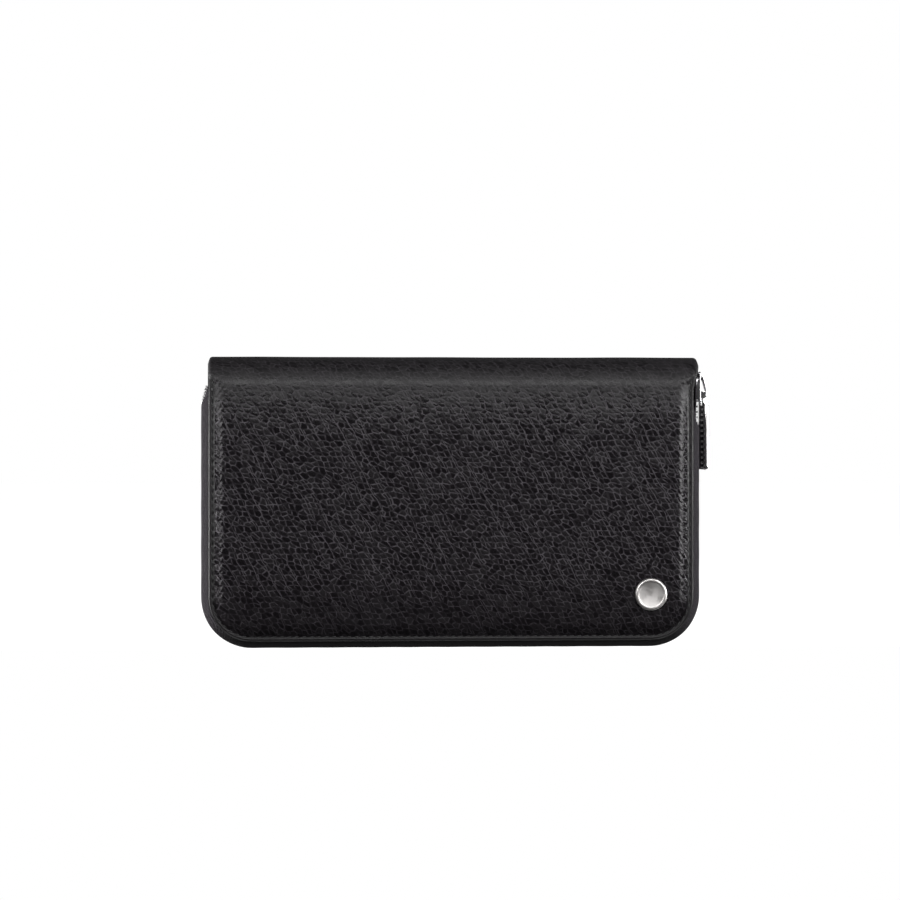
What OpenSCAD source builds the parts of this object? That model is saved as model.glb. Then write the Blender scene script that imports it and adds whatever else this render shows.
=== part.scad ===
// Long zip-around wallet: two padded leather covers joined by a rolled spine, a metal zip round
// the three open sides, stepped card pockets, two gusseted note spaces and a zipped coin pocket.
// Frame: +X to the right, front cover faces -Y, +Z up. The zip's lowest run stands on z = 0.

/* [Covers] */
// Width of a cover, edge to edge
cover_w = 190; // [175:1:205]
// Height of a cover, from its lower edge to the top of the spine
cover_h = 111; // [101:1:121]
// Thickness of the closed wallet over both padded covers
thick = 25; // [24.5:0.25:30]
// Radius of the two lower corners
corner_r = 17; // [13:0.5:22]
// Thickness of the outer leather
leather_t = 1.2; // [1:0.1:1.4]
// Width of the flat stitched margin outside the padding
margin = 2.6; // [2.2:0.1:3.4]
// Rise of the padding above the stitched margin, also the radius of its rim
pad_rise = 1.9; // [1.4:0.1:2.2]
// Thickness of the lining leather
lining_t = 0.5; // [0.4:0.05:0.6]
// Thickness of the stiffening board
board_t = 1.4; // [1:0.1:1.5]

/* [Zip] */
// How far the folded zip tape stands out past the cover's edge
zip_out = 2.7; // [2.2:0.1:3.2]
// Thickness of the zip tape
tape_t = 0.5; // [0.4:0.05:0.6]
// Distance between neighbouring teeth on one tape
tooth_pitch = 2.1; // [2:0.05:2.4]
// Width of a tooth along the tape
tooth_w = 0.86; // [0.7:0.02:0.9]
// Thickness of a tooth through the tape
tooth_t = 2.4; // [2:0.1:2.6]
// Distance of the zip's right end below the top of the spine
zip_below = 4.5; // [4.2:0.1:7.2]

/* [Slider and pull] */
// Length of the slider along the zip
slider_len = 12; // [10:0.5:13]
// Half of the slider's width
slider_half = 4.3; // [4.1:0.05:4.4]
// Length of the pull below its pin
pull_len = 30.5; // [22:0.5:34]
// Width of the pull
pull_w = 9.6; // [7:0.2:11]
// Thickness of the pull
pull_t = 2; // [1.6:0.1:2.2]

/* [Inside] */
// Thickness of one card pocket layer
tier_t = 0.4; // [0.3:0.05:0.45]
// Step between card pocket mouths
tier_step = 12; // [9:0.5:13]
// Height of the lowest card pocket mouth
tier_z = 20; // [18:0.5:24]
// Distance of the card pockets in from the cover's edges
tier_in = 7.5; // [7:0.5:15]
// Half of the room inside the coin pocket
coin_half = 2.1; // [2.05:0.05:2.3]
// Thickness of a coin pocket wall
coin_wall = 0.5; // [0.4:0.05:0.6]
// Height of the coin pocket's mouth
coin_z = 25; // [24.5:0.5:30]
// Distance between neighbouring coin zip teeth on one tape
coin_pitch = 1.7; // [1.65:0.05:2]
// Height of the gussets, below the spine
gusset_h = 44.3; // [38:0.1:52]
// Depth of the gusset's fold
fold = 11; // [7:0.5:12]

/* [Disc] */
// Radius of the metal disc on the front cover
disc_r = 6.3; // [4.5:0.1:8]
// Distance of the disc's centre in from the cover's right edge
disc_in = 17.3; // [15:0.1:26]
// Height of the disc's centre above the cover's lower edge
disc_up = 18; // [15:0.5:26]

/* [Hidden] */
$fn = 64;
half_w = cover_w / 2;
half_t = thick / 2;
flange_o = half_t - pad_rise;
flange_i = flange_o - leather_t;
pan_i = half_t - leather_t;
cover_z = zip_out;
top_z = cover_z + cover_h;
axis_z = top_z - half_t;
zip_end = top_z - zip_below;
seam_y = flange_i - 0.05 - tape_t / 2;
lining_o = flange_i - tape_t - 0.1;
lining_i = lining_o - lining_t;
tier_i = lining_i - 4 * tier_t;
coin_o = coin_half + coin_wall;
corner_x = half_w - corner_r;
tier_half = half_w - tier_in;
corner_z = cover_z + corner_r;
ridge_n = zip_out - tape_t / 2;
tooth_n = zip_out - 0.05 - tooth_t / 2;
side_z = axis_z - 8;
tail_r = 22;
tail_a = 33;
run_1 = zip_end - corner_z;
run_2 = run_1 + (corner_r + tooth_n) * PI / 2;
run_3 = run_2 + 2 * corner_x;
run_4 = run_3 + (corner_r + tooth_n) * PI / 2;
run_5 = run_4 + side_z - corner_z;
run_6 = run_5 + (tail_r + tooth_n) * tail_a * PI / 180;
first_tooth = 4.4;
teeth = floor((run_6 - first_tooth - 2.5) / tooth_pitch);
slider_z = zip_end - 7.2;
wing_o = zip_out + 0.1;
wing_t = 0.9;
pin_n = wing_o + wing_t + 1.3;
pin_z = slider_z - 2.4;
pin_r = 0.75;
disc_x = half_w - disc_in;
disc_z = cover_z + disc_up;
coin_x = half_w - 5;
coin_top = axis_z - 3;
coin_run = half_w - 17;
coin_tooth_t = 1.6;
coin_slider_x = half_w - 27;
coin_pin_z = coin_z - 2.65;
pull_reach = pin_n - 0.1 + pull_t;
mid_x = -(pull_reach - zip_out) / 2;

// Cover frame: X stays, Y becomes height, Z is the depth outward from the middle of the wallet.
module on_front() {
  rotate([90, 0, 0])
    children();
}

module on_back() {
  mirror([0, 1, 0])
    rotate([90, 0, 0])
      children();
}

// Cover outline drawn in by a given amount, with rounded lower corners and a straight top.
module outline(inset) {
  r = corner_r - inset;
  translate([-half_w + inset, cover_z + corner_r])
    square([cover_w - 2 * inset, axis_z - cover_z - corner_r]);
  translate([-corner_x, cover_z + inset])
    square([2 * corner_x, corner_r]);
  for (s = [-1, 1])
    translate([s * corner_x, cover_z + corner_r])
      circle(r = r);
}

// Flat sheet with the cover's outline between two depths.
module sheet(inset, lo, hi) {
  translate([0, 0, lo])
    linear_extrude(hi - lo)
      outline(inset);
}

// Quarter round of the padding's rim: X outward from the rim's centre line, Y outward in depth.
module rim_2d(r) {
  intersection() {
    circle(r = r);
    square([r, r]);
  }
}

// Raised pan with a quarter-round rim along both sides, the corners and the lower edge.
module pan(inset, lo, hi, r) {
  d = hi - r;
  e = inset + r;
  sheet(inset, lo, d);
  sheet(e, lo, hi);
  translate([half_w - e, axis_z, d])
    rotate([90, 0, 0])
      linear_extrude(axis_z - cover_z - corner_r)
        rim_2d(r);
  mirror([1, 0, 0])
    translate([half_w - e, axis_z, d])
      rotate([90, 0, 0])
        linear_extrude(axis_z - cover_z - corner_r)
          rim_2d(r);
  translate([-corner_x, cover_z + e, d])
    rotate([90, 0, 90])
      linear_extrude(2 * corner_x)
        mirror([1, 0])
          rim_2d(r);
  for (s = [0, 1])
    mirror([s, 0, 0])
      translate([corner_x, cover_z + corner_r, d])
        rotate([0, 0, -90])
          rotate_extrude(angle = 90)
            translate([corner_r - e, 0])
              rim_2d(r);
}

// Half tube about the spine's axis from a section drawn as X along the axis and Y as radius.
module half_tube() {
  translate([0, 0, axis_z])
    rotate([0, 90, 0])
      rotate([0, 0, 90])
        rotate_extrude(angle = 180)
          rotate(90)
            mirror([0, 1])
              children();
}

// Ribbon of even thickness along a line of points.
function unit(v) = v / norm(v);
function turn(v) = [-v[1], v[0]];
function way(p, i) = unit(p[min(i + 1, len(p) - 1)] - p[min(i, len(p) - 2)]);
function back_way(p, i) = unit(p[max(i, 1)] - p[max(i, 1) - 1]);
function mitre(p, i) = turn(unit(way(p, i) + back_way(p, i)))
  / (unit(way(p, i) + back_way(p, i)) * way(p, i));
function ribbon_edge(p, t) = concat(
  [for (i = [0 : len(p) - 1]) p[i] + mitre(p, i) * t / 2],
  [for (i = [len(p) - 1 : -1 : 0]) p[i] - mitre(p, i) * t / 2]);
module ribbon(p, t) {
  polygon(ribbon_edge(p, t));
}

// Zip tape on the front side: X outward from the cover's edge, Y across the wallet.
// At k = 1 it runs from the seam over its folded ridge to the teeth, at k = 0.5 it has left the
// seam beside the lining's edge, and at k = 0 it is a narrow tail.
tape_full = [
  [-3.2, -seam_y], [-1, -seam_y], [ridge_n, -6.9], [ridge_n, -5.5], [tooth_n, -4.8], [tooth_n, -1.35]
];
tape_mid = [
  [-0.6, -seam_y], [-0.5, -8.2], [0.2, -6.9], [0.2, -5.6], [tooth_n, -4.8], [tooth_n, -1.35]
];
tape_tail = [
  [tooth_n, -5.9], [tooth_n, -5.7], [tooth_n, -5.4], [tooth_n, -5.1], [tooth_n, -4.8], [tooth_n, -1.35]
];
function tape_line(k) = k > 0.5
  ? tape_full * (2 * k - 1) + tape_mid * (2 - 2 * k)
  : tape_mid * 2 * k + tape_tail * (1 - 2 * k);
function tape_edge(k) = ribbon_edge(tape_line(k), tape_t);

// Places along the zip, from its right end to its left: X, Z, turn about Y, radius, k.
ease = [0, 0.15, 0.5, 0.85, 1];
tape_places = concat(
  [[half_w, zip_end, 0, 0, 0]],
  [for (i = [0 : 4]) [half_w, side_z + 7 - 2.5 * i, 0, 0, ease[i]]],
  [for (a = [0 : 5 : 90]) [corner_x, corner_z, a, corner_r, 1]],
  [for (a = [90 : 5 : 180]) [-corner_x, corner_z, a, corner_r, 1]],
  [for (i = [4 : -1 : 0]) [-half_w, side_z - 1 - 2.5 * i, 180, 0, ease[i]]],
  [for (i = [0 : 6]) [tail_r - half_w, side_z, 180 + i * tail_a / 6, tail_r, 0]]);

function tape_ring(p) = [for (e = tape_edge(p[4]))
  [p[0] + (p[3] + e[0]) * cos(p[2]), e[1], p[1] - (p[3] + e[0]) * sin(p[2])]];

// Front zip tape as one strip swept along those places.
module tape() {
  rings = len(tape_places);
  n = 2 * len(tape_full);
  cap = [for (i = [0 : n / 2 - 2]) each [[i, i + 1, n - 1 - i], [i + 1, n - 2 - i, n - 1 - i]]];
  polyhedron(
    points = [for (p = tape_places) each tape_ring(p)],
    faces = concat(
      cap,
      [for (f = cap) [f[2], f[1], f[0]] + [1, 1, 1] * n * (rings - 1)],
      [for (r = [0 : rings - 2], i = [0 : n - 1])
        each [
          [r * n + i, (r + 1) * n + i, r * n + (i + 1) % n],
          [r * n + (i + 1) % n, (r + 1) * n + i, (r + 1) * n + (i + 1) % n]
        ]]));
}

// Where the zip line is after a run of s from its right end: X, Z, turn about Y, radius.
function zip_at(s) =
  s < run_1 ? [half_w, zip_end - s, 0, 0] :
  s < run_2 ? [corner_x, corner_z, (s - run_1) / (corner_r + tooth_n) * 180 / PI, corner_r] :
  s < run_3 ? [corner_x - (s - run_2), cover_z, 90, 0] :
  s < run_4 ? [-corner_x, corner_z, 90 + (s - run_3) / (corner_r + tooth_n) * 180 / PI, corner_r] :
  s < run_5 ? [-half_w, corner_z + s - run_4, 180, 0] :
  [tail_r - half_w, side_z, 180 + (s - run_5) / (tail_r + tooth_n) * 180 / PI, tail_r];

// Puts its children on the zip line after a run of s.
module on_zip(s) {
  p = zip_at(s);
  translate([p[0], 0, p[1]])
    rotate([0, p[2], 0])
      translate([p[3], 0, 0])
        children();
}

// One tooth of the front tape: two legs clamped over the tape and a head past the middle.
module tooth() {
  h = tooth_t / 2;
  g = tape_t / 2 + 0.03;
  translate([tooth_n, 0, -tooth_w / 2])
    linear_extrude(tooth_w)
      polygon([
        [h, -2.6], [h - 0.3, -3.1], [g, -3.1], [g, -1.34], [-g, -1.34], [-g, -3.1],
        [0.3 - h, -3.1], [-h, -2.6], [-h, 0.1], [0.4 - h, 0.7], [h - 0.4, 0.7], [h, 0.1]
      ]);
}

// Row of teeth on the front tape, starting after a run of s0.
module tooth_row(s0) {
  for (i = [0 : teeth - 1])
    on_zip(s0 + i * tooth_pitch)
      tooth();
}

// Stop clamped on the front tape at each end of the zip.
module stops() {
  for (s = [0.9, run_6 - 0.8])
    on_zip(s)
      for (k = [-1, 1])
        translate([tooth_n + k * (tape_t / 2 + 0.53) - 0.5, -4, -0.7])
          cube([1, 2.6, 1.4]);
}

// Front half of the outer shell.
module cover_leather(hole) {
  difference() {
    union() {
      sheet(0, flange_i, flange_o);
      pan(margin, flange_i, half_t, pad_rise);
    }
    pan(margin + leather_t, flange_i - 1, pan_i, pad_rise - leather_t);
    if (hole)
      translate([disc_x, disc_z, pan_i - 1])
        cylinder(r = 1.05, h = 3);
  }
}

module cover_padding(hole) {
  difference() {
    pan(margin + leather_t, lining_o + board_t, pan_i, pad_rise - leather_t);
    if (hole)
      translate([disc_x, disc_z, lining_o])
        cylinder(r = 3.6, h = 6);
  }
}

module cover_board() {
  sheet(margin + leather_t + 0.6, lining_o, lining_o + board_t);
}

module cover_lining() {
  sheet(1, lining_i, lining_o);
}

// Card pocket layer k of 4. Layer 1 lies on the lining and has the lowest mouth.
module card_tier(k) {
  z = tier_z + (k - 1) * tier_step;
  translate([-tier_half, z, lining_i - k * tier_t])
    cube([2 * tier_half, axis_z - 2 - z, tier_t]);
}

// Folded gusset between a cover's lining and the coin pocket, on the right of the front space.
module gusset() {
  x = tier_half + 0.4;
  translate([0, 0, axis_z - 5 - gusset_h])
    linear_extrude(gusset_h)
      ribbon([
        [x + 2.6, 0.25 - lining_i],
        [x, 0.25 - lining_i],
        [x, -tier_i + 0.3],
        [x - fold, -(tier_i + coin_o) / 2],
        [x, -coin_o - 0.25],
        [x + 1.8, -coin_o - 0.25]
      ], 0.5);
}

module front_cover_leather() {
  color("#1b1a1c")
    on_front()
      cover_leather(true);
}

module front_padding() {
  color("#8d8a80")
    on_front()
      cover_padding(true);
}

module front_board() {
  color("#6b5d4a")
    on_front()
      cover_board();
}

module front_lining() {
  color("#222126")
    on_front()
      cover_lining();
}

module front_card_tier(k) {
  color("#26252a")
    on_front()
      card_tier(k);
}

module disc_plate() {
  color("#c9c4c2")
    on_front()
      translate([disc_x, disc_z, 0]) {
        translate([0, 0, half_t])
          difference() {
            union() {
              cylinder(r = disc_r, h = 0.9);
              translate([0, 0, 0.9])
                cylinder(r1 = disc_r, r2 = disc_r - 0.5, h = 0.5);
            }
            translate([0, 0, 1])
              cylinder(r = disc_r - 1.3, h = 1);
          }
        translate([0, 0, pan_i - 0.7])
          cylinder(r = 1, h = half_t - pan_i + 0.8);
      }
}

module disc_washer() {
  color("#8f8f92")
    on_front()
      translate([disc_x, disc_z, pan_i - 0.6])
        difference() {
          cylinder(r = 3.5, h = 0.6);
          translate([0, 0, -1])
            cylinder(r = 1, h = 3);
        }
}

module back_cover_leather() {
  color("#1b1a1c")
    on_back()
      cover_leather(false);
}

module back_padding() {
  color("#8d8a80")
    on_back()
      cover_padding(false);
}

module back_board() {
  color("#6b5d4a")
    on_back()
      cover_board();
}

module back_lining() {
  color("#222126")
    on_back()
      cover_lining();
}

module back_card_tier(k) {
  color("#26252a")
    on_back()
      card_tier(k);
}

module spine_section(inset, r) {
  translate([-half_w + inset, 0])
    square([cover_w - 2 * inset, r]);
}

module spine_rim(inset, r, top) {
  e = inset + r;
  spine_section(inset, top - r);
  spine_section(e, top);
  for (s = [-1, 1])
    translate([s * (half_w - e), top - r])
      intersection() {
        circle(r = r);
        translate([s > 0 ? 0 : -r, 0])
          square([r, r]);
      }
}

module spine_leather() {
  color("#1b1a1c")
    half_tube()
      difference() {
        union() {
          spine_section(0, flange_o);
          spine_rim(margin, pad_rise, half_t);
        }
        spine_section(-1, flange_i);
        spine_rim(margin + leather_t, pad_rise - leather_t, pan_i);
      }
}

module spine_padding() {
  color("#8d8a80")
    half_tube()
      difference() {
        spine_rim(margin + leather_t, pad_rise - leather_t, pan_i);
        spine_section(-1, lining_o);
      }
}

module spine_lining() {
  color("#222126")
    half_tube()
      difference() {
        spine_section(1, lining_o);
        spine_section(-1, lining_i);
      }
}

module zip_tape_front() {
  color("#2c2b2e")
    tape();
}

module zip_tape_back() {
  color("#2c2b2e")
    mirror([0, 1, 0])
      tape();
}

module zip_teeth_front() {
  color("#b9b7b5")
    tooth_row(first_tooth);
}

module zip_teeth_back() {
  color("#b9b7b5")
    mirror([0, 1, 0])
      tooth_row(first_tooth + tooth_pitch / 2);
}

module zip_stops_front() {
  color("#b9b7b5")
    stops();
}

module zip_stops_back() {
  color("#b9b7b5")
    mirror([0, 1, 0])
      stops();
}

module gusset_front_right() {
  color("#222126")
    gusset();
}

module gusset_front_left() {
  color("#222126")
    mirror([1, 0, 0])
      gusset();
}

module gusset_back_right() {
  color("#222126")
    mirror([0, 1, 0])
      gusset();
}

module gusset_back_left() {
  color("#222126")
    mirror([1, 0, 0])
      mirror([0, 1, 0])
        gusset();
}

module coin_sheet() {
  translate([-coin_x, -coin_o, coin_z])
    cube([2 * coin_x, coin_wall, coin_top - coin_z]);
}

module coin_wall_front() {
  color("#26252a")
    coin_sheet();
}

module coin_wall_back() {
  color("#26252a")
    mirror([0, 1, 0])
      coin_sheet();
}

// Strips that close the coin pocket's top and its two sides.
module coin_binding_top() {
  color("#222126")
    translate([-coin_x, -coin_half, coin_top - 1.2])
      cube([2 * coin_x, 2 * coin_half, 1.2]);
}

module coin_side_strip() {
  translate([coin_x - 1.2, -coin_half, coin_z])
    cube([1.2, 2 * coin_half, coin_top - 1.2 - coin_z]);
}

module coin_binding_right() {
  color("#222126")
    coin_side_strip();
}

module coin_binding_left() {
  color("#222126")
    mirror([1, 0, 0])
      coin_side_strip();
}

module coin_tape() {
  translate([-coin_run - 2, 0, 0])
    rotate([90, 0, 90])
      linear_extrude(2 * coin_run + 4)
        ribbon([
          [-0.7, coin_z + 0.25],
          [-coin_half + 0.25, coin_z + 0.25],
          [-coin_half + 0.25, coin_z + 8]
        ], 0.5);
}

module coin_zip_tape_front() {
  color("#2c2b2e")
    coin_tape();
}

module coin_zip_tape_back() {
  color("#2c2b2e")
    mirror([0, 1, 0])
      coin_tape();
}

module coin_tooth(x) {
  h = coin_tooth_t / 2;
  translate([x - 0.35, 0, coin_z + 0.25])
    rotate([90, 0, 90])
      linear_extrude(0.7)
        polygon([
          [-1.4, h], [-1.55, h - 0.2], [-1.55, 0.26], [-0.69, 0.26], [-0.69, -0.26],
          [-1.55, -0.26], [-1.55, 0.2 - h], [-1.4, -h], [0.1, -h], [0.45, 0.3 - h],
          [0.45, h - 0.3], [0.1, h]
        ]);
}

module coin_teeth(x0) {
  for (x = [x0 : coin_pitch : coin_slider_x + 1.9])
    coin_tooth(x);
}

module coin_zip_teeth_front() {
  color("#b9b7b5")
    coin_teeth(1 - coin_run);
}

module coin_zip_teeth_back() {
  color("#b9b7b5")
    mirror([0, 1, 0])
      coin_teeth(1 - coin_run + coin_pitch / 2);
}

// Slider of the main zip: outer and inner wing, four lips beside the tape, one post in the mouth.
module slider_body() {
  o = wing_o;
  i = tooth_n - tooth_t / 2 - 0.15;
  lip = tape_t / 2 + 0.15;
  color("#c4c3c5")
    translate([half_w, 0, slider_z]) {
      for (n = [o, i - wing_t])
        intersection() {
          translate([n, -slider_half, -slider_len / 2])
            cube([wing_t, 2 * slider_half, slider_len]);
          translate([n - 1, 0, 0])
            rotate([0, 90, 0])
              cylinder(r = slider_len / 2 + 0.9, h = 3);
        }
      for (s = [-1, 1]) {
        translate([tooth_n + lip, s * (slider_half - 0.45) - 0.45, -slider_len / 2 + 1])
          cube([o - tooth_n - lip, 0.9, slider_len - 4]);
        translate([i, s * (slider_half - 0.45) - 0.45, -slider_len / 2 + 1])
          cube([tooth_n - lip - i, 0.9, slider_len - 4]);
      }
      translate([i - 0.1, 0, slider_len / 2 - 1.4])
        rotate([45, 0, 0])
          translate([0, -0.65, -0.65])
            cube([o - i + 0.2, 1.3, 1.3]);
    }
}

// Arch on the slider's outer wing that holds the pull's pin.
module slider_bridge() {
  n = wing_o + wing_t;
  color("#c4c3c5")
    translate([half_w + n, 1.1, slider_z])
      rotate([90, 0, 0])
        linear_extrude(2.2)
          difference() {
            polygon([[0, -4.8], [2, -4.8], [2.9, -3.6], [2.9, -1], [1.6, 4.6], [0, 5.2]]);
            polygon([[-1, -3.3], [2.1, -3.3], [2.1, -1.3], [1, 2.6], [-1, 2.6]]);
          }
}

// Pull: a pin through the arch, two arms beside it and a flat bar.
module pull_tab() {
  w = pull_w / 2;
  color("#cfcdcc")
    translate([half_w + pin_n, 0, pin_z]) {
      rotate([90, 0, 0])
        cylinder(r = pin_r, h = 6, center = true);
      for (s = [-1, 1])
        translate([-pin_r, s * 2.2 - 0.8, -5])
          cube([2 * pin_r, 1.6, 5]);
      translate([-0.1, -w, -pull_len + 1.5])
        cube([pull_t, pull_w, pull_len - 5.5]);
      translate([-0.1, -w + 1.5, -pull_len])
        cube([pull_t, pull_w - 3, 2]);
      for (s = [-1, 1])
        translate([-0.1, s * (w - 1.5), -pull_len + 1.5])
          rotate([0, 90, 0])
            cylinder(r = 1.5, h = pull_t);
    }
}

// Slider of the coin zip, with its wings below and above the teeth.
module coin_slider_body() {
  lo = coin_z + 0.25 - coin_tooth_t / 2 - 0.15;
  hi = coin_z + 0.25 + coin_tooth_t / 2 + 0.15;
  color("#c4c3c5")
    translate([coin_slider_x, 0, 0]) {
      translate([-4, -2.8, lo - 0.8])
        cube([8, 5.6, 0.8]);
      translate([-4, -1.35, hi])
        cube([8, 2.7, 0.7]);
      for (s = [-1, 1])
        translate([-3.5, s * 2.45 - 0.35, lo])
          cube([6, 0.7, coin_z - 0.15 - lo]);
      translate([3, 0, lo - 0.1])
        rotate([0, 0, 45])
          translate([-0.45, -0.45, 0])
            cube([0.9, 0.9, hi - lo + 0.2]);
    }
}

module coin_slider_bridge() {
  lo = coin_z + 0.25 - coin_tooth_t / 2 - 0.95;
  color("#c4c3c5")
    translate([coin_slider_x, 0.8, lo])
      rotate([90, 0, 0])
        linear_extrude(1.6)
          difference() {
            polygon([[-3.4, 0], [-3, -2], [-2.4, -2.6], [1.4, -2.6], [3.4, 0]]);
            polygon([[-2.2, 1], [-2.2, -1.8], [1, -1.8], [1.9, 1]]);
          }
}

module coin_pull() {
  color("#cfcdcc")
    translate([coin_slider_x - 1.5, 0, coin_pin_z]) {
      rotate([90, 0, 0])
        cylinder(r = 0.55, h = 4, center = true);
      for (s = [-1, 1])
        translate([-0.55, s * 1.5 - 0.5, -6])
          cube([1.1, 1, 6]);
      translate([-0.55, -2.4, -15])
        cube([1.1, 4.8, 10]);
    }
}

translate([mid_x, 0, 0]) {
  front_cover_leather();
  front_padding();
  front_board();
  front_lining();
  front_card_tier(1);  // front_card_tier_1
  front_card_tier(2);  // front_card_tier_2
  front_card_tier(3);  // front_card_tier_3
  front_card_tier(4);  // front_card_tier_4
  disc_plate();
  disc_washer();
  zip_tape_front();
  zip_teeth_front();
  zip_stops_front();
  back_cover_leather();
  back_padding();
  back_board();
  back_lining();
  back_card_tier(1);  // back_card_tier_1
  back_card_tier(2);  // back_card_tier_2
  back_card_tier(3);  // back_card_tier_3
  back_card_tier(4);  // back_card_tier_4
  spine_leather();
  spine_padding();
  spine_lining();
  zip_tape_back();
  zip_teeth_back();
  zip_stops_back();
  gusset_front_right();
  gusset_front_left();
  gusset_back_right();
  gusset_back_left();
  coin_wall_front();
  coin_wall_back();
  coin_binding_top();
  coin_binding_right();
  coin_binding_left();
  coin_zip_tape_front();
  coin_zip_tape_back();
  coin_zip_teeth_front();
  coin_zip_teeth_back();
  slider_body();
  slider_bridge();
  pull_tab();
  coin_slider_body();
  coin_slider_bridge();
  coin_pull();
}
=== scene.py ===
import math
from functools import partial

import bmesh
import bpy
import numpy as np
from mathutils import Matrix, Vector


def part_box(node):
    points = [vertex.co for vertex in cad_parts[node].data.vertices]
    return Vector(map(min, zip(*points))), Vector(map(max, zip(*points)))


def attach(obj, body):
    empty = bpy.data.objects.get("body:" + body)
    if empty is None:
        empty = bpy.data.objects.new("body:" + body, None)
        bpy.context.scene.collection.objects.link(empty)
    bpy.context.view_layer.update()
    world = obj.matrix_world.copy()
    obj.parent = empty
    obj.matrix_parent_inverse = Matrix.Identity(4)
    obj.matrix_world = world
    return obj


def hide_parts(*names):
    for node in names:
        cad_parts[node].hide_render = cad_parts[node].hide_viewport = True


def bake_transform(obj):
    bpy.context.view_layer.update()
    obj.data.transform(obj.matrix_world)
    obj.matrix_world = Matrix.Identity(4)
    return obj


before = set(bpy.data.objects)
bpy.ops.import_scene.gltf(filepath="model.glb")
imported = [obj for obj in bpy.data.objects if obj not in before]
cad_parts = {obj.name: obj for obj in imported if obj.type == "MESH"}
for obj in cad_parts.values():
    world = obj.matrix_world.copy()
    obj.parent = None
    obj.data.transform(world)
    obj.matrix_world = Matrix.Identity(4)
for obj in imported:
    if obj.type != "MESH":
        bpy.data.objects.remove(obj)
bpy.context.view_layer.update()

MM = 0.001

# Outer leather: one wrap of black tumbled calf over both covers and the rolled spine.
# It is padded inside a narrow stitched margin, and its cut edge is painted. Two halves meet
# along the top of the spine.
front_low, front_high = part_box("front_cover_leather")
mid_x = (front_low.x + front_high.x) / 2
half_w = (front_high.x - front_low.x) / 2
cover_z = front_low.z
axis_z = front_high.z  # height of the spine's axis, where the flat covers end
pad_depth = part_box("spine_leather")[1].z - axis_z
halves = (("front", -1), ("back", 1))  # the side of the middle plane on which each half lies
slack = 0.1 * MM
leather_thick = 1.2 * MM
corner_r = 17 * MM
corner_x = half_w - corner_r
corner_z = cover_z + corner_r
pad_rise = 1.9 * MM
edge_depth = pad_depth - pad_rise
crown = 0.75 * MM
crown_high = axis_z - 26 * MM
spine_flare = 3 * MM  # how far the spine's right end stands out over the slider
flare_length = 40 * MM
rim_start = 2.55 * MM
rim_width = 4.2 * MM
spine_rim_start = 0.1  # shares of the cover's rim that are left on the spine
spine_rim_width = 0.36
stitch_inset = 1.65 * MM
stitch_pitch = 2.9 * MM
seam_top = math.radians(28)  # how far up the spine's roll the stitching goes
seam_fade = 0.4  # radians of the roll over which the seam's pull dies out
pucker = 0.3  # share of the rise that a stitch pulls down
pucker_slant = 1.4
pucker_reach = 2 * MM
wave_height = 0.1 * MM
wave_start = 5 * MM
wave_width = 14 * MM
groove_depth = 0.34 * MM
groove_width = 0.45 * MM
edge_turn = 0.9 * MM
edge_drop = 0.8 * MM
clear_of_edge = 9.0  # in mm, where there is no stitched margin
cut_edge = MM * np.array([(0.05, -0.92), (0.06, -1.0), (0, -1.1), (-0.25, -1.2), (-3, -1.2)])
rim_step = 0.35 * MM
rim_band = 7 * MM
corner_step = 0.6 * MM
panel_step = 0.55 * MM
panel_columns = 250
spine_rows = 36
GRAIN_UNIT = 0.1  # metres of leather for each unit of the grain's UV map
pebble_black = (0.002, 0.0017, 0.002)
pebble_grey = (0.005, 0.0044, 0.005)
crease_grey = (0.034, 0.0305, 0.0349)


def smooth_step(value):
    """Eased rise from 0 to 1 as the value goes from 0 to 1."""
    value = np.clip(value, 0, 1)
    return value * value * (3 - 2 * value)


def inset_from_edge(x, z):
    """How far points of a cover lie in from its cut edge; the spine has no edge along its top."""
    side = half_w - np.abs(x)
    low = z - cover_z
    in_corner = (side < corner_r) & (low < corner_r)
    round_inset = corner_r - np.hypot(np.maximum(corner_r - side, 0), np.maximum(corner_r - low, 0))
    return np.where(in_corner, round_inset, np.minimum(side, low))


def seam_run(x, z, arc):
    """Length along the stitched seam from its upper end to the nearest point of it."""
    straight = edge_depth * seam_top + axis_z - corner_z
    turn = corner_r - stitch_inset
    angle = np.arctan2(np.maximum(corner_z - z, 0), np.maximum(np.abs(x) - corner_x, 1e-9))
    on_side = edge_depth * (seam_top - arc) + axis_z - z
    in_corner = straight + angle * turn
    on_low = straight + turn * math.pi / 2 + corner_x - np.abs(x)
    below = z < corner_z
    flat_run = np.where(below & (half_w - np.abs(x) > z - cover_z), on_low, on_side)
    return np.where(below & (np.abs(x) > corner_x), in_corner, flat_run)


def soft_waves(x, s):
    """Gentle unevenness of the leather over its foam, from -1 to 1, in waves of about 100 and 45 mm."""
    return (
        np.sin(x * 61 + s * 23 + 0.7) * np.sin(s * 57 - x * 19 + 1.9)
        + 0.6 * np.sin(x * 131 - s * 83 + 2.2) * np.sin(s * 149 + x * 47)
    ) / 1.6


def crown_drop(z, arc):
    """How far the padded panel falls back from flat towards the spine."""
    return crown * np.clip((z - crown_high) / (axis_z - crown_high), 0, 1) ** 2 * np.cos(arc)


def flared(x, arc):
    """Points across the wrap, moved out towards the right end of the spine."""
    share = np.clip((x - half_w + flare_length) / flare_length, 0, 1)
    return x + spine_flare * share * share * np.sin(arc)


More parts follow.
